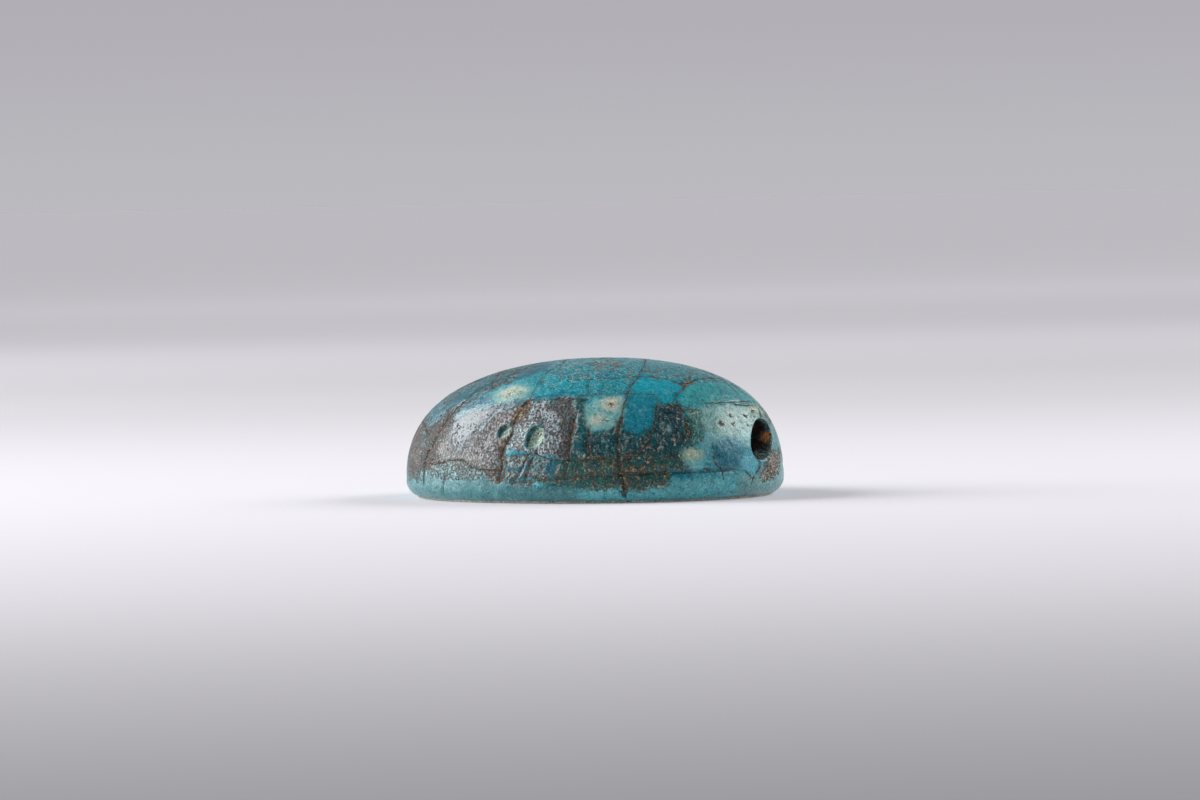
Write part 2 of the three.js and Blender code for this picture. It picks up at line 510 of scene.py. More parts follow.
class BeadBlank:
    """The smooth bored bead, made by a node tree from the seal's sizes."""

    def __init__(self, form: SealForm, cells: BeadCells) -> None:
        """Keeps the sizes.

        Args:
            form: The seal's sizes.
            cells: How finely it is divided.
        """
        self.form = form
        self.cells = cells
        self.tree = bpy.data.node_groups.new("bead blank", "GeometryNodeTree")
        self.wiring = Wiring(self.tree)
        self.values: dict[str, object] = {}

    def build(self, materials: dict[str, bpy.types.Material]) -> bpy.types.Object:
        """Makes the bead as a plain mesh in metres.

        Args:
            materials: The finishes of the back, the base and the bore, by name.

        Returns:
            The bead's object.
        """
        form, cells = self.form, self.cells
        sizes = {
            "Length": form.length * MM, "Width": form.width * MM, "Height": form.height * MM,
            "Plan Power": form.plan_power, "Rise Power": form.rise_power,
            "Spread Power": form.spread_power, "Crest Lean": form.crest_lean * MM,
            "Lean Power": form.lean_power, "Foot Radius Sides": form.foot_radius_sides * MM,
            "Foot Radius Ends": form.foot_radius_ends * MM, "Shoulder": cells.shoulder * MM,
            "Foot Share": cells.foot_share, "Bore Radius": form.bore_diameter / 2 * MM,
            "Bore Height": form.bore_height * MM, "Bore Overrun": cells.bore_overrun * MM,
        }
        counts = {
            "Cells Along": cells.along, "Cells Across": cells.across, "Cells Upwards": cells.upwards,
            "Bore Sides": cells.bore_sides, "Bore Rings": cells.bore_rings,
        }
        for kind, group in (("Float", sizes), ("Int", counts), ("Material", materials)):
            for name in group:
                self.tree.interface.new_socket(name, in_out="INPUT", socket_type=f"NodeSocket{kind}")
        self.tree.interface.new_socket("Geometry", in_out="OUTPUT", socket_type="NodeSocketGeometry")
        self.values = {**sizes, **counts, **materials}
        self.wire()
        return self.evaluate()

    def wire(self) -> None:
        """Builds the tree: a lattice bent into the bead, less its bore, with its materials."""
        wiring = self.wiring
        inputs = wiring.add("NodeGroupInput").outputs
        lattice = wiring.add("GeometryNodeMeshCube")
        lattice.inputs["Size"].default_value = (2, 2, 2)
        for name, count in (("Vertices X", "Cells Along"), ("Vertices Y", "Cells Across"),
                            ("Vertices Z", "Cells Upwards")):
            wiring.put(lattice.inputs[name], wiring.math("ADD", inputs[count], 1.0))
        bend = wiring.add("GeometryNodeSetPosition")
        wiring.put(bend.inputs["Geometry"], lattice.outputs["Mesh"])
        wiring.put(bend.inputs["Position"], self.bead_position(inputs))
        cut = wiring.add("GeometryNodeMeshBoolean", operation="DIFFERENCE", solver="EXACT")
        wiring.put(cut.inputs["Mesh 1"], bend.outputs["Geometry"])
        wiring.put(cut.inputs["Mesh 2"], self.bore_cutter(inputs))
        smooth = wiring.add("GeometryNodeSetShadeSmooth")
        wiring.put(smooth.inputs["Geometry"], cut.outputs["Mesh"])
        realize = wiring.add("GeometryNodeRealizeInstances")
        wiring.put(realize.inputs["Geometry"], smooth.outputs["Geometry"])
        place = wiring.add("ShaderNodeSeparateXYZ")
        wiring.put(place.inputs[0], wiring.add("GeometryNodeInputPosition").outputs[0])
        up = wiring.math("SUBTRACT", place.outputs["Z"], inputs["Bore Height"])
        from_bore = wiring.math("SQRT", wiring.math("ADD", wiring.math("POWER", place.outputs["Y"], 2.0),
                                                    wiring.math("POWER", up, 2.0)))
        in_bore = wiring.math("LESS_THAN", from_bore, wiring.math("MULTIPLY", inputs["Bore Radius"], 1.01))
        on_base = wiring.math("LESS_THAN", place.outputs["Z"], 1e-7)
        geometry = realize.outputs["Geometry"]
        for name, selection in (("Glaze", 1.0), ("Base Finish", on_base), ("Bore Finish", in_bore)):
            finish = wiring.add("GeometryNodeSetMaterial")
            wiring.put(finish.inputs["Geometry"], geometry)
            wiring.put(finish.inputs["Selection"], wiring.math("GREATER_THAN", selection, 0.5))
            wiring.put(finish.inputs["Material"], inputs[name])
            geometry = finish.outputs["Geometry"]
        wiring.put(wiring.add("NodeGroupOutput").inputs[0], geometry)

    def bore_cutter(self, inputs: bpy.types.NodeOutputs) -> bpy.types.NodeSocket:
        """Makes the rod that cuts the bore, finely ringed so that its wall can be worn."""
        wiring = self.wiring
        rod = wiring.add("GeometryNodeMeshCylinder")
        depth = wiring.math("ADD", inputs["Length"], wiring.math("MULTIPLY", inputs["Bore Overrun"], 2.0))
        for name, value in (("Vertices", inputs["Bore Sides"]), ("Side Segments", inputs["Bore Rings"]),
                            ("Radius", inputs["Bore Radius"]), ("Depth", depth)):
            wiring.put(rod.inputs[name], value)
        lay = wiring.add("GeometryNodeTransform")
        wiring.put(lay.inputs["Geometry"], rod.outputs["Mesh"])
        lay.inputs["Rotation"].default_value = (0, math.pi / 2, 0)
        lift = wiring.add("ShaderNodeCombineXYZ")
        wiring.put(lift.inputs["Z"], inputs["Bore Height"])
        wiring.put(lay.inputs["Translation"], lift.outputs[0])
        return lay.outputs["Geometry"]

    def plan_corner(self, inputs: bpy.types.NodeOutputs, x: object, y: object) -> tuple:
        """Turns a place on the square lattice into one on the plan outline.

        Args:
            inputs: The tree's inputs.
            x: The place along the lattice, from -1 to 1.
            y: The place across it.

        Returns:
            The outline's x and y in that direction.
        """
        w = self.wiring
        along = w.math("GREATER_THAN", w.math("ABSOLUTE", x), w.math("SUBTRACT", w.math("ABSOLUTE", y), 1e-6))
        eighth = math.pi / 4
        end_turn = w.math("ADD", w.math("MULTIPLY", w.math("DIVIDE", y, x), eighth),
                          w.math("MULTIPLY", w.math("LESS_THAN", x, 0.0), math.pi))
        side_turn = w.math("SUBTRACT", w.math("MULTIPLY", w.math("SIGN", y), math.pi / 2),
                           w.math("MULTIPLY", w.math("DIVIDE", x, y), eighth))
        turn = w.pick(along, end_turn, side_turn)
        power = w.math("DIVIDE", 2.0, inputs["Plan Power"])
        corner = []
        for wave, size in (("COSINE", "Length"), ("SINE", "Width")):
            share = w.math(wave, turn)
            bent = w.math("MULTIPLY", w.math("SIGN", share),
                          w.math("POWER", w.math("ABSOLUTE", share), power))
            corner.append(w.math("MULTIPLY", bent, w.math("MULTIPLY", inputs[size], 0.5)))
        return tuple(corner)

    def bead_position(self, inputs: bpy.types.NodeOutputs) -> bpy.types.NodeSocket:
        """Works out where each corner of the lattice goes on the bead.

        Args:
            inputs: The tree's inputs.

        Returns:
            The socket of the position.
        """
        w = self.wiring
        lattice = w.add("ShaderNodeSeparateXYZ")
        w.put(lattice.inputs[0], w.add("GeometryNodeInputPosition").outputs[0])
        x, y, z = (lattice.outputs[name] for name in "XYZ")
        edge_x, edge_y = self.plan_corner(inputs, x, y)
        edge = w.math("SQRT", w.math("ADD", w.math("POWER", edge_x, 2.0), w.math("POWER", edge_y, 2.0)))
        middle_out = w.math("MAXIMUM", w.math("ABSOLUTE", x), w.math("ABSOLUTE", y))

        endwise = w.math("POWER", w.math("DIVIDE", edge_x, edge), 2.0)
        foot = w.math("ADD", inputs["Foot Radius Sides"],
                      w.math("MULTIPLY", endwise, w.math("SUBTRACT", inputs["Foot Radius Ends"],
                                                         inputs["Foot Radius Sides"])))
        climb = w.math("MULTIPLY", w.math("ADD", z, 1.0), 0.5)
        foot_turn = w.math("MULTIPLY", w.math("MINIMUM", w.math("DIVIDE", climb, inputs["Foot Share"]), 1.0),
                           math.pi / 2)
        foot_height = w.math("MULTIPLY", foot, w.math("SUBTRACT", 1.0, w.math("COSINE", foot_turn)))
        tucked = w.math("MULTIPLY", foot, w.math("SUBTRACT", 1.0, w.math("SINE", foot_turn)))
        past_foot = w.math("DIVIDE", w.math("MAXIMUM", w.math("SUBTRACT", climb, inputs["Foot Share"]), 0.0),
                           w.math("SUBTRACT", 1.0, inputs["Foot Share"]))
        side_height = w.math("ADD", foot_height, w.math("MULTIPLY", past_foot,
                                                        w.math("SUBTRACT", inputs["Shoulder"], foot)))
        side_rise = w.math("POWER", w.math("DIVIDE", side_height, inputs["Height"]), inputs["Rise Power"])
        spread = w.math("DIVIDE", 2.0, inputs["Spread Power"])
        side_share = w.math("POWER", w.math("SQRT", w.math("SUBTRACT", 1.0, side_rise)), spread)
        side_share = w.math("MULTIPLY", middle_out,
                            w.math("SUBTRACT", side_share, w.math("DIVIDE", tucked, edge)))

        half_rise = w.math("DIVIDE", inputs["Rise Power"], 2.0)
        shoulder = w.math("ARCSINE", w.math("POWER", w.math("DIVIDE", inputs["Shoulder"], inputs["Height"]),
                                            half_rise))
        turn = w.math("ADD", shoulder, w.math("MULTIPLY", w.math("SUBTRACT", math.pi / 2, shoulder),
                                              w.math("SUBTRACT", 1.0, middle_out)))
        top_height = w.math("MULTIPLY", inputs["Height"],
                            w.math("POWER", w.math("SINE", turn), w.math("DIVIDE", 1.0, half_rise)))
        top_share = w.math("POWER", w.math("MAXIMUM", w.math("COSINE", turn), 0.0), spread)

        on_top = w.math("GREATER_THAN", z, 0.9999)
        height = w.pick(on_top, top_height, side_height)
        share = w.pick(on_top, top_share, side_share)
        lean = w.math("MULTIPLY", inputs["Crest Lean"],
                      w.math("POWER", w.math("DIVIDE", height, inputs["Height"]), inputs["Lean Power"]))
        position = w.add("ShaderNodeCombineXYZ")
        w.put(position.inputs["X"], w.math("ADD", w.math("MULTIPLY", edge_x, share), lean))
        w.put(position.inputs["Y"], w.math("MULTIPLY", edge_y, share))
        w.put(position.inputs["Z"], height)
        return position.outputs[0]

    def evaluate(self) -> bpy.types.Object:
        """Runs the tree and keeps its result as a plain mesh.

        Returns:
            The bead's object, with no modifier left on it.
        """
        maker = bpy.data.objects.new("bead maker", bpy.data.meshes.new("bead maker"))
        bpy.context.scene.collection.objects.link(maker)
        modifier = maker.modifiers.new("bead blank", "NODES")
        modifier.node_group = self.tree
        for item in self.tree.interface.items_tree:
            if item.in_out == "INPUT":
                modifier[item.identifier] = self.values[item.name]
        graph = bpy.context.evaluated_depsgraph_get()
        mesh = bpy.data.meshes.new_from_object(maker.evaluated_get(graph))
        bpy.data.objects.remove(maker)
        mesh.name = "glazed_bead"
        mesh.materials.pop(index=0)
        bead = bpy.data.objects.new("glazed_bead", mesh)
        bpy.context.scene.collection.objects.link(bead)
        return bead


class Surface:
    """The bead's corners in millimetres, and which face of the seal each one is on."""

    def __init__(self, bead: bpy.types.Object, form: SealForm) -> None:
        """Reads the bead's mesh.

        Args:
            bead: The bead.
            form: The seal's sizes.
        """
        self.mesh = bead.data
        self.form = form
        count = len(self.mesh.vertices)
        raw = np.zeros(count * 3, np.float32)
        self.mesh.vertices.foreach_get("co", raw)
        self.points = raw.reshape(-1, 3).astype(float) / MM
        self.mesh.vertices.foreach_get("normal", raw)
        self.normals = raw.reshape(-1, 3).astype(float)
        self.bearing = np.arctan2(self.points[:, 1], self.points[:, 0])
        self.from_bore = np.hypot(self.points[:, 1], self.points[:, 2] - form.bore_height)
        self.in_bore = self.from_bore < form.bore_diameter / 2 * 1.001
        self.on_base = (self.points[:, 2] < 1e-4) & ~self.in_bore
        self.on_back = ~self.in_bore & ~self.on_base

    def store(self, name: str, kind: str, values: Array) -> None:
        """Keeps one value for each corner, for the shaders to read.

        Args:
            name: What the shaders call it.
            kind: FLOAT_VECTOR or FLOAT_COLOR.
            values: One row for each corner.
        """
        key = "color" if kind == "FLOAT_COLOR" else "vector"
        layer = self.mesh.attributes.new(name, kind, "POINT")
        layer.data.foreach_set(key, values.astype(np.float32).ravel())

    def write(self) -> None:
        """Puts the points back into the mesh, in metres."""
        self.mesh.vertices.foreach_set("co", (self.points * MM).astype(np.float32).ravel())
        self.mesh.update()


@dataclass(frozen=True)
class BaseDesign:
    """The engraving of the base, in millimetres: a border, two ringed dots, petals and dots."""

    depth: float = 0.25
    slope: float = 0.11
    border_inset: float = 1.4
    border_width: float = 0.35
    ring_radius: float = 1.35
    ring_line: float = 0.35
    ring_to_border: float = 0.95
    dot_diameter: float = 0.75
    petal_count: int = 4
    petal_length: float = 2.7
    petal_width: float = 1.15
    petal_start: float = 0.9
    side_dot_to_border: float = 0.85

    def inside(self, form: SealForm, points: Array) -> Array:
        """Tells how far places on the base lie inside the cut lines.

        Args:
            form: The seal's sizes.
            points: Places on the base, one row each.

        Returns:
            Millimetres inside the nearest cut, less than 0 outside it.
        """
        x, y = points[:, 0], points[:, 1]
        bearing = np.arctan2(y, x)
        inset = form.plan_radius(bearing) - np.hypot(x, y)
        cuts = [self.border_width / 2 - np.abs(inset - self.border_inset)]
        line_inside = self.border_inset + self.border_width / 2
        ring_x = form.length / 2 - line_inside - self.ring_to_border - self.ring_radius - self.ring_line / 2
        dot_y = form.width / 2 - line_inside - self.side_dot_to_border - self.dot_diameter / 2
        for side in (-1, 1):
            reach = np.hypot(x - side * ring_x, y)
            cuts.append(self.ring_line / 2 - np.abs(reach - self.ring_radius))
            cuts.append(self.dot_diameter / 2 - reach)
            cuts.append(self.dot_diameter / 2 - np.hypot(x, y - side * dot_y))
        half_length, half_width = self.petal_length / 2, self.petal_width / 2
        arc = (half_length**2 + half_width**2) / (2 * half_width)
        for petal in range(self.petal_count):
            turn = (petal + 0.5) / self.petal_count * 2 * math.pi
            along = x * math.cos(turn) + y * math.sin(turn) - self.petal_start - half_length
            across = y * math.cos(turn) - x * math.sin(turn)
            cuts.append(arc - np.hypot(along, np.abs(across) + arc - half_width))
        return np.max(cuts, axis=0)


@dataclass(frozen=True)
class Hollow:
    """A small oval hollow in the glaze, placed by its pixel in the photograph."""

    centre: Pixel
    length: float
    width: float
    depth: float
    slant: float


HOLLOWS = (
    Hollow(centre=(535.2, 437.0), length=1.1, width=0.6, depth=0.14, slant=55),
    Hollow(centre=(504.0, 431.6), length=0.72, width=0.42, depth=0.12, slant=45),
    Hollow(centre=(673.0, 428.5), length=0.52, width=0.5, depth=0.1, slant=0),
)


@dataclass(frozen=True)
class WornMouth:
    """How the string wore the mouth at the +X end aslant: sideways shifts, in millimetres."""

    slope: float = 0.45
    shift: float = 0.15
    full_reach: float = 1.0
    fade_reach: float = 2.5
    full_depth: float = 1.0
    fade_depth: float = 3.4


class Chart(Enum):
    """How the corners of a route or the middle of a patch are given."""

    PHOTO = "pixels of the photograph"
    DIAL = "degrees: the bearing round the plan, and the rise from the base to the crest"


class Run(Enum):
    """Which way a crack mostly runs. The two kinds cross, so each is measured by itself."""

    UPWARDS = "crack_upwards"
    LENGTHWISE = "crack_lengthwise"


@dataclass(frozen=True)
class Crack:
    """A crack in the glaze, packed with soil. The width is in millimetres."""

    run: Run
    width: float
    route: tuple[Pixel, ...]
    chart: Chart = Chart.PHOTO


# The cracks that the photograph shows, then those of the hidden sides
CRACKS = (
    Crack(Run.UPWARDS, 0.065, ((646, 359), (639, 375), (629, 389), (625.7, 399.7), (621.5, 417))),
    Crack(Run.UPWARDS, 0.15, ((621.5, 417), (618.6, 430), (617.6, 450.5), (619.3, 468.4), (622.3, 481))),
    Crack(Run.UPWARDS, 0.12, ((622.3, 481), (624.5, 490), (625.6, 502))),
    Crack(Run.UPWARDS, 0.045, ((563, 363), (549, 370.4), (540, 381), (533, 392), (529, 398.5))),
    Crack(Run.UPWARDS, 0.36, ((527.5, 400.5), (519.5, 410.6), (512.5, 423))),
    Crack(Run.UPWARDS, 0.17, ((512.5, 423), (511, 434), (505, 444), (501, 455), (501.5, 463), (498.5, 479))),
    Crack(Run.UPWARDS, 0.17, ((422.5, 484), (424.7, 460), (431, 446), (441, 427.7), (452, 412.5),
                              (464, 401))),
    Crack(Run.UPWARDS, 0.06, ((464, 401), (481, 387), (499, 380), (527, 367), (541, 362))),
    Crack(Run.UPWARDS, 0.07, ((443.5, 478), (442.7, 487.6), (442.4, 497))),
    Crack(Run.UPWARDS, 0.12, ((528.5, 454.3), (524, 463), (519, 474), (513, 481))),
    Crack(Run.UPWARDS, 0.10, ((536, 452.4), (530, 462), (525.3, 477))),
    Crack(Run.UPWARDS, 0.12, ((576, 413), (571.5, 432), (569, 448), (568, 461), (564.5, 474))),
    Crack(Run.UPWARDS, 0.11, ((588, 431), (588.7, 445), (590, 457))),
    Crack(Run.UPWARDS, 0.09, ((679.5, 406), (684, 415), (685.5, 428), (688.5, 438), (693, 446))),
    Crack(Run.UPWARDS, 0.07, ((683, 411), (688, 424), (692, 437))),
    Crack(Run.UPWARDS, 0.07, ((685, 384), (681, 391), (675.7, 396), (676.4, 404))),
    Crack(Run.UPWARDS, 0.09, ((656, 407), (656, 415), (652.5, 431), (647, 444), (642, 450))),
    Crack(Run.UPWARDS, 0.06, ((759, 460.7), (760, 466), (754, 478), (751, 489))),
    Crack(Run.UPWARDS, 0.04, ((590, 379), (588.2, 386), (588.7, 394))),
    Crack(Run.LENGTHWISE, 0.10, ((424.9, 463.5), (436, 464), (450, 460.5), (464, 461), (473, 468.5),
                                 (498, 471))),
    Crack(Run.LENGTHWISE, 0.10, ((524.6, 454.3), (536, 453), (545, 458), (568, 460.7), (586, 459.5))),
    Crack(Run.LENGTHWISE, 0.13, ((586, 459.5), (603, 459), (619, 461), (631, 458.8))),
    Crack(Run.LENGTHWISE, 0.10, ((617.4, 453.7), (630, 452.8), (642, 451))),
    Crack(Run.LENGTHWISE, 0.05, ((529, 399.4), (563, 398.5), (588, 395), (620, 393), (650.6, 394),
                                 (657, 398))),
    Crack(Run.LENGTHWISE, 0.06, ((656.6, 409), (658.5, 405.5), (681, 406))),
    Crack(Run.LENGTHWISE, 0.045, ((590, 378.8), (615, 378), (639, 375.7), (664, 378), (680, 383))),
    Crack(Run.LENGTHWISE, 0.13, ((680, 383), (688, 382), (697, 378.5))),
    Crack(Run.LENGTHWISE, 0.06, ((697, 378.5), (710, 378), (722, 378.5), (737, 387), (752, 398.5))),
    Crack(Run.LENGTHWISE, 0.07, ((752, 398.5), (759, 408), (761, 417))),
    Crack(Run.LENGTHWISE, 0.05, ((704, 402.3), (729, 401.8), (751, 400.6))),
    Crack(Run.LENGTHWISE, 0.05, ((735.5, 404.4), (754, 405.2))),
    Crack(Run.LENGTHWISE, 0.06, ((745.7, 472), (753.4, 478))),
    Crack(Run.LENGTHWISE, 0.05, ((714.6, 453.7), (713, 461), (722, 469), (723.5, 479))),
    Crack(Run.UPWARDS, 0.09, ((-68, 79), (-20, 88), (70, 80), (82, 62), (78, 45), (84, 30), (80, 14),
                              (83, 1)),
          Chart.DIAL),
    Crack(Run.UPWARDS, 0.08, ((-95, 66), (-120, 76), (160, 78), (128, 66), (122, 48), (128, 30), (121, 10)),
          Chart.DIAL),
    Crack(Run.UPWARDS, 0.07, ((-122, 46), (-150, 60), (170, 63), (152, 50), (149, 32), (155, 16)),
          Chart.DIAL),
    Crack(Run.UPWARDS, 0.10, ((44, 66), (50, 48), (45, 33), (52, 20), (49, 2)), Chart.DIAL),
    Crack(Run.UPWARDS, 0.07, ((18, 58), (22, 40), (19, 26), (24, 8)), Chart.DIAL),
    Crack(Run.UPWARDS, 0.08, ((176, 40), (181, 26)), Chart.DIAL),
    Crack(Run.UPWARDS, 0.07, ((186, 10), (192, 4), (190, 1)), Chart.DIAL),
    Crack(Run.UPWARDS, 0.07, ((104, 34), (101, 20), (106, 3)), Chart.DIAL),
    Crack(Run.LENGTHWISE, 0.08, ((4, 40), (12, 56), (30, 66), (62, 72), (110, 70), (150, 60), (166, 44)),
          Chart.DIAL),
    Crack(Run.LENGTHWISE, 0.10, ((14, 22), (32, 27), (49, 24), (66, 30), (84, 27), (104, 33), (122, 29),
                                 (141, 33)),
          Chart.DIAL),
    Crack(Run.LENGTHWISE, 0.07, ((52, 43), (70, 47), (92, 44), (118, 47)), Chart.DIAL),
    Crack(Run.LENGTHWISE, 0.08, ((150, 17), (166, 22), (188, 20), (206, 24), (220, 19)), Chart.DIAL),
    Crack(Run.LENGTHWISE, 0.07, ((196, 44), (214, 56), (236, 70)), Chart.DIAL),
)


@dataclass(frozen=True)
class Glaze:
    """One state of the glaze: its screen colour, how far it is worn off and how soiled it is."""

    colour: Colour
    wear: float = 0.0
    soil: float = 0.0


class State(Enum):
    """The states of the glaze that show on the seal, a few with painted light and shade in their colour.
    Below half wear the colour is the glaze's own.
    """

    TURQUOISE = Glaze((36, 158, 174), soil=0.2)
    BRIGHT = Glaze((4, 168, 188), soil=0.1)
    CROWN = Glaze((30, 152, 170), wear=0.04, soil=0.42)
    DUSKY = Glaze((18, 104, 120), wear=0.06, soil=0.18)
    SEA_GREEN = Glaze((52, 172, 176), wear=0.03, soil=0.16)
    FOOT_PALE = Glaze((56, 130, 136), wear=0.05, soil=0.13)
    FOOT_GREEN = Glaze((84, 180, 188), wear=0.05, soil=0.15)
    FOOT_GREY = Glaze((112, 168, 170), wear=0.12, soil=0.15)
    MILKY = Glaze((66, 84, 96), wear=0.08, soil=0.04)
    STREAK_BLUE = Glaze((0, 104, 128))
    ROSE_GREY = Glaze((122, 123, 125), wear=1.0, soil=0.14)
    ASHEN = Glaze((144, 147, 145), wear=0.95, soil=0.05)
    WARM_GREY = Glaze((40, 34, 27), wear=0.9, soil=0.2)
    BLUE_GREY = Glaze((124, 140, 148), wear=1.0, soil=0.16)
    LIGHT_GREY = Glaze((156, 174, 178), wear=0.97, soil=0.1)
    DARK_GREY = Glaze((46, 60, 66), wear=1.0, soil=0.4)
    WORN_TEAL = Glaze((112, 142, 140), wear=0.78, soil=0.24)
    DEEP = Glaze((0, 92, 98), wear=0.06, soil=0.24)
    DEEP_BLUE = Glaze((4, 144, 166), soil=0.12)
    DARK_PANEL = Glaze((0, 80, 90), wear=0.08, soil=0.28)
    MOTTLED = Glaze((4, 88, 80), wear=0.14, soil=0.54)
    STREAKED = Glaze((50, 140, 136), wear=0.2, soil=0.34)
    CLOUD = Glaze((142, 200, 196), wear=0.05, soil=0.05)
    CREAM = Glaze((214, 214, 194), wear=0.05, soil=0.06)
    YELLOW = Glaze((206, 214, 178), wear=0.08, soil=0.15)
    # Pale green of chipped glaze in a hollow, with painted light on its lit lower wall
    LIT_HOLLOW_GREEN = Glaze((150, 178, 158), wear=0.2, soil=0.22)
    PALE = Glaze((128, 182, 176), wear=0.12, soil=0.14)
    SLATE = Glaze((26, 124, 142), wear=0.05, soil=0.1)
    RIM_BLUE = Glaze((92, 178, 196), wear=0.04)
    EDGE_BROWN = Glaze((54, 42, 28), wear=0.8, soil=0.18)
    ROUGH = Glaze((140, 138, 130), wear=0.9, soil=0.6)
    SOILED = Glaze((80, 68, 48), wear=0.7, soil=0.9)
    RUST = Glaze((118, 78, 48), wear=0.6, soil=0.85)
    FOOT_EDGE = Glaze((216, 214, 200), wear=0.8)
    BORE_LIP = Glaze((96, 134, 134), wear=0.2, soil=0.3)
    # Dark brown of the soiled bore, with painted shade that deepens past the mouth
    BORE_WALL = Glaze((40, 28, 18), wear=1.0, soil=0.05)
    # Orange deposit in the bore, brightened with painted light on its lit inner wall
    LIT_DEPOSIT = Glaze((255, 168, 96), wear=1.0, soil=0.02)


@dataclass(frozen=True)
class Field:
    """An area in one state, inside an outline of the photograph's pixels."""

    state: State
    outline: tuple[Pixel, ...]
    soft: float = 4.0
    strength: float = 1.0


@dataclass(frozen=True)
class Spot:
    """An oval in one state. In PHOTO its reach is in pixels, and in DIAL in millimetres."""

    state: State
    centre: Pixel
    reach: tuple[float, float]
    slant: float = 0.0
    soft: float = 0.35
    strength: float = 1.0
    chart: Chart = Chart.PHOTO
    inside: bool = False
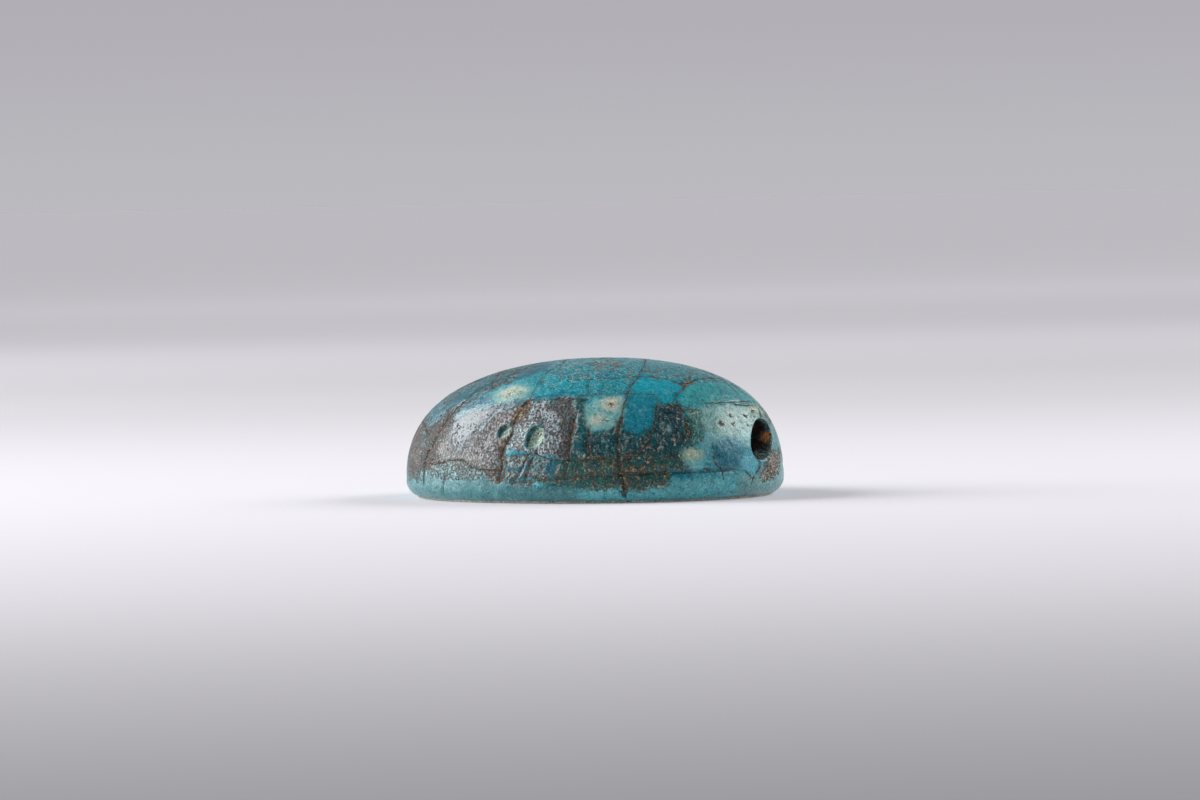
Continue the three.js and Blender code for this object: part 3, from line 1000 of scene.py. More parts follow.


# The near side, painted from the broad areas down to the small spots; a few marks are painted light and shade
NEAR_SIDE = (
    Field(State.DUSKY, ((404, 480), (408, 440), (424, 410), (450, 385), (490, 366), (545, 354), (562, 356),
                        (545, 372), (505, 385), (470, 398), (452, 412), (437, 432), (425, 462), (421, 484)),
          6),
    Field(State.CROWN, ((545, 350), (620, 348), (700, 356), (694, 377), (640, 375), (590, 379), (560, 384)),
          6),
    Field(State.TURQUOISE, ((545, 380), (590, 378), (634, 375), (631, 393), (590, 395), (535, 397)), 4),
    Field(State.BRIGHT, ((634, 377), (650, 377), (684, 385), (680, 401), (659, 403), (652, 395), (632, 393)),
          3),
    Field(State.SEA_GREEN, ((688, 383), (722, 380), (748, 396), (758, 410), (740, 403), (705, 405),
                            (680, 404)), 4),
    Field(State.FOOT_PALE, ((404, 474), (440, 475), (480, 479), (520, 485), (600, 484), (600, 504),
                            (404, 504)), 5),
    Field(State.FOOT_GREEN, ((580, 480), (660, 470), (740, 470), (752, 512), (576, 512)), 18),
    Field(State.FOOT_GREY, ((738, 476), (790, 466), (790, 504), (738, 504)), 7),
    Field(State.MILKY, ((426, 468), (430, 444), (444, 424), (462, 416), (482, 410), (500, 404), (520, 400),
                        (516, 424), (506, 445), (502, 458), (500, 472), (480, 472), (465, 466)), 8),
    Field(State.ASHEN, ((428, 466), (432, 444), (444, 428), (462, 424), (482, 418), (500, 408), (519, 402),
                        (516, 424), (506, 445), (502, 458), (500, 472), (480, 470), (465, 464)), 14),
    Field(State.MILKY, ((446, 438), (452, 424), (460, 413), (468, 409), (488, 406), (500, 401), (515, 399),
                        (527, 396), (526, 400), (512, 406), (497, 415), (487, 424), (479, 434), (468, 444),
                        (456, 447)), 20, 0.86),
    Field(State.STREAK_BLUE, ((458, 407), (475, 398), (494, 394), (490, 403), (473, 408), (460, 411)), 3),
    Field(State.ROSE_GREY, ((480, 432), (484, 424), (494, 415), (508, 408), (519, 403), (511, 420),
                            (506, 440),
                            (502, 456), (500, 470), (482, 468), (470, 450)), 8),
    Field(State.STREAK_BLUE, ((479, 430), (487, 421), (497, 412), (512, 403), (521, 399), (522, 402),
                              (513, 406),
                              (498, 415), (488, 424), (481, 433)), 2, 0.8),
    Spot(State.MILKY, (461, 449), (14, 9), 10, 0.6, 0.45),
    Field(State.WARM_GREY, ((420, 474), (423, 448), (431, 426), (445, 411), (458, 408), (449, 430),
                            (439, 450),
                            (434, 472)), 9, 0.9),
    Field(State.WORN_TEAL, ((430, 465), (466, 462), (478, 471), (506, 474), (500, 482), (470, 480),
                            (430, 478)), 6,
          0.85),
    Field(State.EDGE_BROWN, ((400, 448), (408, 424), (424, 404), (433, 408), (427, 430), (424, 468),
                             (418, 482),
                             (404, 480)), 18, 0.9),
    Field(State.RUST, ((449, 414), (470, 396), (490, 385), (514, 373), (516, 377), (492, 390), (472, 401),
                       (452, 418)), 4, 0.45),
    Field(State.RUST, ((438, 394), (470, 374), (505, 362), (545, 352), (562, 350), (558, 358), (540, 363),
                       (505, 372), (472, 386), (442, 404)), 6, 0.55),
    Field(State.DEEP, ((576, 430), (600, 434), (626, 416), (657, 404), (690, 444), (690, 470), (600, 474),
                       (562, 472), (564, 458), (572, 445)), 6),
    Field(State.DEEP_BLUE, ((625, 394), (657, 398), (656, 424), (640, 434), (622, 432)), 6),
    Field(State.MOTTLED, ((560, 462), (600, 456), (640, 455), (684, 456), (684, 470), (664, 487), (600, 490),
                          (545, 484), (540, 470)), 7),
    Field(State.BLUE_GREY, ((529, 401), (550, 399), (571, 398), (577, 401), (578, 416), (576, 432),
                            (571, 445),
                            (566, 457), (540, 457), (527, 451), (511, 448), (509, 439), (515, 426),
                            (523, 413)), 1.5),
    Field(State.STREAK_BLUE, ((529, 397), (545, 393), (569, 392), (576, 395), (569, 397), (545, 398),
                              (532, 400)),
          2.5, 0.7),
    Field(State.LIGHT_GREY, ((512, 430), (530, 418), (548, 440), (550, 452), (525, 450), (511, 446)), 6),
    Field(State.DARK_GREY, ((548, 399), (577, 400), (578, 430), (571, 446), (567, 457), (556, 456),
                            (560, 440),
                            (560, 420), (546, 410)), 6),
    Field(State.DEEP, ((576, 400), (588, 398), (590, 432), (582, 446), (574, 436)), 3),
    Field(State.CLOUD, ((586, 403), (600, 398), (624, 396), (627, 410), (620, 421), (608, 430), (596, 434),
                        (586, 426)), 5),
    Field(State.DARK_PANEL, ((657, 406), (681, 405), (684, 420), (690, 444), (655, 448), (652, 432)), 2.5),
    Field(State.STREAKED, ((684, 408), (704, 406), (708, 424), (702, 440), (693, 447), (687, 430)), 5),
    Field(State.PALE, ((700, 407), (742, 404), (758, 409), (757, 420), (749, 434), (722, 437), (704, 432),
                       (700, 416)), 6),
    Field(State.CLOUD, ((706, 432), (748, 430), (752, 446), (738, 442), (714, 446), (706, 456), (700, 448)),
          6, 0.6),
    Field(State.SLATE, ((711, 443), (730, 438), (746, 448), (745, 468), (722, 474), (712, 460)), 14),
    # Pale glaze along the right end, with a painted reflection of the right softbox
    Field(State.FOOT_GREY, ((770, 415), (786, 430), (788, 500), (776, 500), (773, 450)), 3),
    Field(State.ROUGH, ((770, 453), (778, 449), (781, 460), (777, 474), (764, 481), (761, 474)), 7),
    Field(State.DEEP_BLUE, ((670, 470), (687, 469), (691, 476), (684, 481), (672, 479)), 4, 0.8),
    Field(State.DUSKY, ((503, 453), (527, 456), (540, 462), (560, 462), (552, 478), (500, 481)), 6),
    Field(State.WORN_TEAL, ((506, 454), (524, 456), (523, 466), (505, 467)), 4),
    Field(State.WORN_TEAL, ((503, 470), (521, 470), (519, 478), (501, 479)), 4),
    Field(State.WORN_TEAL, ((530, 456), (548, 458), (545, 468), (536, 478), (527, 477)), 4, 0.8),
    Field(State.SOILED, ((529, 399), (524, 400), (514, 411), (508, 424), (513, 426), (521, 416), (531, 404)),
          2),
    Field(State.SOILED, ((498, 436), (509, 436), (505, 450), (506, 480), (494, 482), (496, 460)), 4, 0.6),
    Field(State.SOILED, ((484, 472), (500, 474), (512, 481), (548, 472), (552, 480), (520, 486), (488, 480)),
          4, 0.6),
    Field(State.SOILED, ((617, 468), (627, 468), (630, 480), (628, 496), (622, 496), (618, 482)), 4, 0.5),
    Field(State.SOILED, ((678, 383), (688, 379), (697, 376), (700, 379), (690, 383), (681, 386)), 2, 0.8),
    Field(State.RUST, ((588, 361), (626, 359), (622, 367), (592, 370)), 4, 0.6),
    Field(State.RUST, ((622, 370), (640, 366), (668, 370), (673, 378), (640, 374), (624, 377)), 5, 0.3),
    Spot(State.CLOUD, (511, 393), (21, 8), 17, 0.5, 0.7),
    Spot(State.CREAM, (512, 393), (14, 5.5), 17, 0.6),
    Spot(State.CREAM, (611, 403.6), (9, 7), 0, 0.6),
    Spot(State.CREAM, (596, 421), (8, 6), 20, 0.7, 0.7),
    Spot(State.CLOUD, (695, 457), (14, 10), 0, 0.6, 0.6),
    Spot(State.YELLOW, (692, 454.5), (9, 5), 0, 0.7, 0.9),
    Spot(State.RIM_BLUE, (748, 463), (7, 10), 0, 0.5),
    Spot(State.YELLOW, (757, 411), (9, 6), -30, 0.6, 0.7),
    # Painted shade on the upper walls of the two hollows, then the chip's pale green with painted light on
    # their lower walls
    Spot(State.DEEP, (533.5, 435), (14, 8.5), 55, 0.15),
    Spot(State.LIT_HOLLOW_GREEN, (536.5, 438.5), (11.5, 6.8), 55, 0.2),
    Spot(State.DARK_PANEL, (502.5, 430), (9.5, 5.5), 45, 0.15),
    Spot(State.LIT_HOLLOW_GREEN, (505.5, 433), (7, 4), 45, 0.25, 0.8),
    # Painted shade in the pit, then a painted highlight on its left rim
    Spot(State.DARK_PANEL, (674, 427), (6.5, 5.5), 0, 0.2),
    Spot(State.CLOUD, (669.5, 427.5), (4, 2.5), -60, 0.4, 0.6),
    Spot(State.CREAM, (721.5, 423), (5, 5), 0, 0.5, 0.4),
    Spot(State.CREAM, (730.5, 415), (5, 4), 0, 0.5, 0.25),
    Spot(State.CREAM, (733, 424), (4, 4), 0, 0.5, 0.25),
    Spot(State.CREAM, (745.8, 415), (5, 4), 0, 0.5, 0.25),
    Spot(State.CREAM, (753, 411), (5, 3), -20, 0.5, 0.4),
    Spot(State.RUST, (753, 411), (2.0, 1.6), 0, 0.4),
    Spot(State.RUST, (611.5, 404), (3, 2), -15, 0.3),
    Spot(State.RUST, (605.8, 420.3), (3.2, 1.3), 0, 0.3),
    Spot(State.RUST, (509.7, 394), (1.3, 1.1), 0, 0.3),
    Spot(State.RUST, (721.5, 423), (2.0, 2.4), 0, 0.3),
    Spot(State.RUST, (730.5, 415), (1.8, 1.8), 0, 0.3),
    Spot(State.RUST, (733, 423.8), (1.5, 1.5), 0, 0.3),
    Spot(State.RUST, (745.8, 415), (2.0, 1.6), 0, 0.3),
    Spot(State.RUST, (707, 469), (3.0, 1.4), -10, 0.3),
    Spot(State.RUST, (571, 378), (2.2, 2.4), 0, 0.4, 0.8),
    Spot(State.RUST, (607, 387), (1.8, 1.8), 0, 0.4, 0.8),
    # The deposit on the bore's inner wall, with painted light where that wall is lit
    Spot(State.LIT_DEPOSIT, (766, 436.5), (4.5, 4.5), 30, 0.7, inside=True),
    Spot(State.WORN_TEAL, (761, 454), (7, 3.5), 0, 0.5, 0.8, inside=True),
)

# The sides that the photograph doesn't show, in keeping with the near side and plainer
FAR_SIDE = (
    Spot(State.CROWN, (60, 74), (5.0, 3.0), 0, 0.5, 1.0, Chart.DIAL),
    Spot(State.DEEP, (70, 22), (4.6, 1.6), 0, 0.5, 0.9, Chart.DIAL),
    Spot(State.BLUE_GREY, (112, 32), (2.3, 1.5), 10, 0.3, 1.0, Chart.DIAL),
    Spot(State.DARK_GREY, (101, 28), (0.8, 1.0), 0, 0.4, 0.9, Chart.DIAL),
    Spot(State.ROSE_GREY, (163, 30), (2.1, 1.7), -15, 0.3, 1.0, Chart.DIAL),
    Spot(State.WARM_GREY, (196, 24), (2.2, 1.4), 0, 0.4, 0.9, Chart.DIAL),
    Spot(State.PALE, (30, 36), (1.8, 1.3), 20, 0.5, 0.9, Chart.DIAL),
    Spot(State.CLOUD, (74, 44), (1.5, 0.9), 0, 0.5, 0.9, Chart.DIAL),
    Spot(State.CREAM, (76, 45), (0.5, 0.35), 0, 0.5, 1.0, Chart.DIAL),
    Spot(State.CREAM, (134, 52), (0.8, 0.4), 15, 0.5, 0.9, Chart.DIAL),
    Spot(State.YELLOW, (52, 16), (0.8, 0.5), 0, 0.6, 0.8, Chart.DIAL),
    Spot(State.DARK_PANEL, (58, 31), (0.9, 1.0), 0, 0.3, 0.9, Chart.DIAL),
    Spot(State.MOTTLED, (92, 16), (3.6, 0.8), 0, 0.5, 0.8, Chart.DIAL),
    Spot(State.SLATE, (22, 18), (1.2, 0.9), 0, 0.5, 0.9, Chart.DIAL),
    Spot(State.ROUGH, (12, 22), (0.7, 0.9), 20, 0.3, 0.9, Chart.DIAL),
    Spot(State.RUST, (-110, 80), (1.4, 0.4), 0, 0.6, 0.6, Chart.DIAL),
    Spot(State.DUSKY, (180, 60), (3.4, 2.2), 0, 0.5, 0.8, Chart.DIAL),
    Spot(State.STREAKED, (146, 14), (1.6, 0.7), 0, 0.5, 0.8, Chart.DIAL),
    Spot(State.RUST, (76.5, 45.5), (0.09, 0.06), 0, 0.3, 1.0, Chart.DIAL),
    Spot(State.RUST, (36, 40), (0.08, 0.08), 0, 0.3, 1.0, Chart.DIAL),
    Spot(State.RUST, (140, 62), (0.09, 0.08), 0, 0.3, 0.9, Chart.DIAL),
)


def outline_depth(pixels: Array, outline: tuple[Pixel, ...]) -> Array:
    """Tells how deep pixels lie inside an outline.

    Args:
        pixels: Pixel coordinates, one row each.
        outline: The corners of a closed outline.

    Returns:
        The distance to the outline, less than 0 outside it.
    """
    corners = np.array(outline)
    nearest = np.full(len(pixels), np.inf)
    inside = np.zeros(len(pixels), bool)
    for start, end in zip(corners, np.roll(corners, -1, axis=0)):
        edge = end - start
        offset = pixels - start
        share = np.clip(offset @ edge / (edge @ edge), 0, 1)
        nearest = np.minimum(nearest, np.linalg.norm(offset - share[:, None] * edge, axis=1))
        spans = (start[1] > pixels[:, 1]) != (end[1] > pixels[:, 1])
        rise = edge[1] if edge[1] else 1.0
        inside ^= spans & (pixels[:, 0] < start[0] + edge[0] * offset[:, 1] / rise)
    return np.where(inside, nearest, -nearest)


def oval_reach(across: Array, up: Array, reach: tuple[float, float], slant: float) -> Array:
    """Tells how far out of an oval places lie: 0 at its middle and 1 at its edge."""
    c, s = math.cos(math.radians(slant)), math.sin(math.radians(slant))
    return np.hypot((across * c + up * s) / reach[0], (up * c - across * s) / reach[1])


@dataclass(frozen=True)
class Relief:
    """How deep time cut into the surface, in millimetres. A crack's depth is a share of its width."""

    waves: float = 0.014
    ripples: float = 0.008
    worn: float = 0.022
    worn_uneven: float = 0.016
    soiled: float = 0.01
    foot: float = 0.02
    bore_wall: float = 0.02
    base: float = 0.006
    crack_share: float = 0.28
    crack_limit: float = 0.05


class Ageing:
    """Everything that time did to the bead: wear, hollows, cracks, stains and soil, with painted light and
    shade in a few hollows and the bore.
    """

    def __init__(self, surface: Surface, view: PhotoView) -> None:
        """Works out what all the marks share.

        Args:
            surface: The bead's corners.
            view: The photograph's view.
        """
        self.surface = surface
        self.form = surface.form
        self.view = view
        self.home = surface.points.copy()
        self.skew = self.mouth_skew(WornMouth())
        self.pixels = view.pixels(self.home + self.skew)
        self.facing = surface.normals @ view.axes()[2]
        self.near = soft_step(0.0, 0.12, self.facing)
        self.glaze = np.zeros((len(self.home), 3))
        self.body = np.zeros((len(self.home), 3))
        self.wear = np.zeros(len(self.home))
        self.soil = np.zeros(len(self.home))
        self.line_kept = self.kept_line()

    def kept_line(self) -> Array:
        """Gives the share of the incised line that is left at each corner."""
        kept = np.clip(0.55 + 0.45 * rough_noise(self.home, 0.35, 101), 0, 1)
        shown = soft_step(492, 522, self.pixels[:, 0]) * soft_step(752, 728, self.pixels[:, 0])
        return kept + (np.maximum(shown, 0.08) - kept) * self.near

    def near_weight(self, mark: Field | Spot, wobble: Array) -> Array:
        """Gives how strongly a mark of the near side colours each corner."""
        places = self.pixels + wobble
        if isinstance(mark, Field):
            weight = soft_step(-mark.soft / 2, mark.soft / 2, outline_depth(places, mark.outline))
        else:
            across = places[:, 0] - mark.centre[0]
            up = mark.centre[1] - places[:, 1]
            reach = oval_reach(across, up, mark.reach, mark.slant)
            weight = 1 - soft_step(1 - mark.soft, 1 + mark.soft, reach)
        face = self.surface.in_bore if getattr(mark, "inside", False) else self.surface.on_back
        return weight * self.near * face * mark.strength

    def far_weight(self, mark: Spot, wobble: Array) -> Array:
        """Gives how strongly a mark of the far side colours each corner."""
        bearing, rise = mark.centre
        middle = self.form.dial_point(np.array([bearing]), np.array([rise]))[0]
        around = self.form.dial_point(np.array([bearing + 0.5]), np.array([rise]))[0] - middle
        above = self.form.dial_point(np.array([bearing]), np.array([rise + 0.5]))[0] - middle
        around /= np.linalg.norm(around)
        above -= around * (above @ around)
        above /= np.linalg.norm(above)
        offset = self.home - middle
        reach = oval_reach(offset @ around + wobble[:, 0], offset @ above + wobble[:, 1], mark.reach,
                           mark.slant)
        sunk = np.abs(offset @ np.cross(around, above)) < max(mark.reach)
        weight = 1 - soft_step(1 - mark.soft, 1 + mark.soft, reach)
        return weight * sunk * self.surface.on_back * mark.strength

    def lay(self, glaze: Glaze, weight: Array) -> None:
        """Lays one state of the glaze over what is there.

        Args:
            glaze: The state.
            weight: How strongly it covers each corner.
        """
        layer = self.body if glaze.wear >= 0.5 else self.glaze
        layer += (np.array(linear(glaze.colour)) - layer) * weight[:, None]
        self.wear += (glaze.wear - self.wear) * weight
        self.soil += (glaze.soil - self.soil) * weight

    def half_length(self, y: Array, z: Array) -> Array:
        """Gives how far the back reaches each way along X, at each place across and height."""
        form = self.form
        share = form.plan_share(z)
        chord = 1 - np.clip(np.abs(y) / (form.width / 2 * share), 0, 1) ** form.plan_power
        return form.length / 2 * share * chord ** (1 / form.plan_power)

    def mouth_depth(self) -> Array:
        """Gives how far each corner lies inside the back along the bore, in millimetres."""
        x, y, z = self.home.T
        side = np.sign(x)
        return self.half_length(y, z) + side * self.form.lean(z) - side * x

    def mouth_skew(self, mouth: WornMouth) -> Array:
        """Gives how far wear has shifted each corner near the mouth at the +X end.

        Args:
            mouth: How far it is worn.

        Returns:
            The shift of each corner in millimetres, one row each.
        """
        form, surface = self.form, self.surface
        x, y, z = self.home.T
        near = soft_step(mouth.fade_reach, mouth.full_reach, surface.from_bore)
        near *= soft_step(form.length / 2 - mouth.fade_depth, form.length / 2 - mouth.full_depth, x)
        across = (mouth.slope * (z - form.bore_height) + mouth.shift) * near * ~surface.on_base
        along = self.half_length(y + across, z) - self.half_length(y, z)
        return np.stack([along * surface.on_back * (x > 0), across, np.zeros(len(x))], axis=1)

    def paint(self) -> None:
        """Gives each corner its glaze: the colour, with painted light and shade in a few hollows and the
        bore, how far it is worn and how soiled it is.
        """
        everywhere = np.ones(len(self.home))
        self.lay(State.WARM_GREY.value, everywhere)
        self.lay(State.TURQUOISE.value, everywhere)
        wobble = np.stack([rough_noise(self.home, 1.6, 11 + n, 4) for n in range(2)], axis=1)
        worn_foot = self.surface.on_back * soft_step(0.13, 0.04, self.home[:, 2])
        depth = self.mouth_depth() + 0.12 * wobble[:, 0]
        self.lay(State.BORE_LIP.value, self.surface.in_bore * 1.0)
        # Painted shade: the bore darkens past its mouth
        self.lay(State.BORE_WALL.value, self.surface.in_bore * soft_step(0.18, 0.42, depth))
        for marks, weigh, reach in ((FAR_SIDE, self.far_weight, 0.8), (NEAR_SIDE, self.near_weight, 6.0)):
            for mark in marks:
                size = min(mark.reach) if isinstance(mark, Spot) else math.inf
                self.lay(mark.state.value, weigh(mark, wobble * min(reach, size * 0.5)))
        self.lay(State.FOOT_EDGE.value, worn_foot)

    def crack_segments(self, run: Run) -> Array:
        """Lays the cracks of one run on the back.

        Args:
            run: Which cracks.

        Returns:
            One row for each short straight piece: its two ends, then its width.
        """
        rows = []
        for crack in CRACKS:
            if crack.run is not run:
                continue
            corners = np.array(crack.route, float)
            if crack.chart is Chart.PHOTO:
                places = self.view.land(smooth_route(corners, 4.0), self.form)
            else:
                places = smooth_route(self.form.dial_point(corners[:, 0], corners[:, 1]), 0.2)
                height = np.clip(places[:, 2], 0, self.form.height * UNDER_CREST)
                bearing = np.arctan2(places[:, 1], places[:, 0] - self.form.lean(height))
                places = np.where(self.form.plan_share(height)[:, None] > 0.25,
                                  self.form.back_point(bearing, height), places)
            width = np.full((len(places) - 1, 1), crack.width)
            rows.append(np.hstack([places[:-1], places[1:], width]))
        return np.vstack(rows)

    def measure_cracks(self, run: Run) -> Array:
        """Measures each corner against the nearest crack of one run.

        Args:
            run: Which cracks.

        Returns:
            For each corner the signed distance across the crack, the plain distance to it and
            the crack's width, all in millimetres.
        """
        segments = self.crack_segments(run)
        start, edge, width = segments[:, :3], segments[:, 3:6] - segments[:, :3], segments[:, 6]
        square = np.maximum((edge**2).sum(axis=1), 1e-12)
        result = np.zeros((len(self.home), 3))
        block = 3000
        for first in range(0, len(self.home), block):
            points = self.home[first:first + block] + self.skew[first:first + block]
            normals = self.surface.normals[first:first + block]
            offset = points[:, None, :] - start[None]
            share = np.clip((offset * edge).sum(axis=2) / square, 0, 1)
            gap = offset - share[..., None] * edge
            distance = np.linalg.norm(gap, axis=2)
            nearest = distance.argmin(axis=1)
            rows = np.arange(len(points))
            side = (np.cross(edge[nearest], gap[rows, nearest]) * normals).sum(axis=1)
            near = distance[rows, nearest]
            result[first:first + block, 0] = near * np.sign(side)
            result[first:first + block, 1] = np.minimum(near, 1.0)
            result[first:first + block, 2] = width[nearest]
        return result

    def round_lip(self) -> None:
        """Rounds the two mouths of the bore, a little unevenly, as the string wore them."""
        form, surface = self.form, self.surface
        points = self.home
        radius = form.bore_diameter / 2
        uneven = 1 + 0.35 * value_noise(points, 1.7, 5)
        lip = form.bore_lip * uneven
        side = np.sign(points[:, 0])
        depth = self.mouth_depth()
        past_rim = surface.from_bore - radius
        at_ends = np.abs(points[:, 0]) > form.length / 4
        on_face = surface.on_back & at_ends & (past_rim < lip)
        in_mouth = surface.in_bore & (depth < lip)
        turn = np.where(in_mouth, 1 - np.clip(depth / lip, 0, 1), 1 + np.clip(past_rim / lip, 0, 1))
        turn = turn * math.pi / 4
        outward = radius + lip * (1 - np.cos(turn))
        inward = lip * (1 - np.sin(turn)) - np.where(in_mouth, depth, 0)
        move = on_face | in_mouth
        scale = np.where(move, outward / np.maximum(surface.from_bore, 1e-6), 1)
        surface.points[:, 1] *= scale
        surface.points[:, 2] = form.bore_height + (surface.points[:, 2] - form.bore_height) * scale
        surface.points[:, 0] -= np.where(move, side * inward, 0)

    def carve(self, cracks: dict[Run, Array], design: BaseDesign) -> None:
        """Sinks the groove, the hollows, the cracks and the worn places into the mesh.

        Args:
            cracks: The measured cracks of each run.
            design: The engraving of the base.
        """
        form, surface, relief = self.form, self.surface, Relief()
        home = self.home
        wear, soil = self.wear, self.soil
        depth = relief.waves * (1 + rough_noise(home, 0.55, 21))
        depth += relief.ripples * (1 + rough_noise(home, 2.3, 31))
        depth += wear * (relief.worn + relief.worn_uneven * rough_noise(home, 5.5, 41))
        depth += soil * relief.soiled * (1 + rough_noise(home, 6.5, 51))
        rise = (home[:, 2] - form.groove_line(surface.bearing)) / (form.groove_width / 2)
        depth += form.groove_depth * self.line_kept * np.exp(-(rise**2))
        for distances in cracks.values():
            share = distances[:, 1] / np.maximum(distances[:, 2] * 0.6, 0.05)
            sunk = np.minimum(distances[:, 2] * relief.crack_share, relief.crack_limit)
            depth += sunk * np.exp(-(share**2))
        for hollow in HOLLOWS:
            scale = self.view.focal / self.view.distance / 2
            reach = oval_reach(self.pixels[:, 0] - hollow.centre[0], hollow.centre[1] - self.pixels[:, 1],
                               (hollow.length * scale, hollow.width * scale), hollow.slant)
            bowl = np.sqrt(np.clip(1 - reach**2, 0, 1))
            depth += hollow.depth * bowl * (self.facing > 0)
        near_foot = soft_step(0.6, 0.1, home[:, 2])
        depth += near_foot * relief.foot * (1 + rough_noise(home, 3.1, 61))
        clear_of_lip = soft_step(0.0, 0.3, surface.from_bore - form.bore_diameter / 2)
        at_ends = np.abs(home[:, 0]) > form.length / 4
        depth *= np.where(at_ends, clear_of_lip, 1) * surface.on_back
        depth *= soft_step(0.0, 0.12, home[:, 2])
        surface.points -= surface.normals * depth[:, None]
        wall = relief.bore_wall * (1 + rough_noise(home * np.array([1, 3, 3]), 1.5, 71))
        wall *= surface.in_bore & (np.abs(home[:, 0]) < form.length / 2 - 0.8)
        surface.points += surface.normals * wall[:, None]
        cut = design.inside(form, home) + 0.02 * rough_noise(home, 2.5, 81)
        sunk = design.depth * soft_step(-design.slope / 2, design.slope / 2, cut)
        sunk += relief.base * (1 + rough_noise(home, 2.0, 91))
        flat = form.plan_radius(surface.bearing) - np.hypot(home[:, 0], home[:, 1])
        rim = form.foot_radius_ends + 0.15
        sunk *= surface.on_base * soft_step(rim - 0.1, rim + 0.05, flat)
        surface.points[:, 2] += sunk
        self.soil += surface.on_base * soft_step(0.05, 0.2, sunk) * 0.8

    def apply(self, design: BaseDesign) -> None:
        """Ages the whole bead and leaves what the shaders read on its mesh.

        Args:
            design: The engraving of the base.
        """
        self.paint()
        cracks = {run: self.measure_cracks(run) for run in Run}
        self.round_lip()
        self.carve(cracks, design)
        self.surface.points += self.skew
        surface = self.surface
        solid = np.ones((len(self.home), 1))
        surface.store("glaze_colour", "FLOAT_COLOR", np.hstack([self.glaze, solid]))
        surface.store("body_colour", "FLOAT_COLOR", np.hstack([self.body, solid]))
        groove = (np.abs(self.home[:, 2] - self.form.groove_line(surface.bearing))
                  + 0.25 * (1 - self.line_kept))
        surface.store("glaze_state", "FLOAT_VECTOR", np.stack([self.wear, self.soil, groove], axis=1))
        for run, distances in cracks.items():
            surface.store(run.value, "FLOAT_VECTOR", distances)
        surface.write()


@dataclass(frozen=True)
class Dirt:
    """The colours of soil in a crack or a pit, as a screen shows them, from deep to dry."""

    deep: Colour = (46, 36, 27)
    damp: Colour = (84, 68, 50)
    earth: Colour = (118, 100, 76)
    ochre: Colour = (158, 120, 74)
    rose: Colour = (172, 146, 124)
    grit: Colour = (216, 208, 192)

    def stops(self) -> tuple[tuple[float, Colour], ...]:
        """Gives the row of colours that noise is looked up in."""
        return ((0.34, linear(self.deep)), (0.43, linear(self.damp)), (0.50, linear(self.earth)),
                (0.56, linear(self.ochre)), (0.61, linear(self.rose)), (0.67, linear(self.grit)))


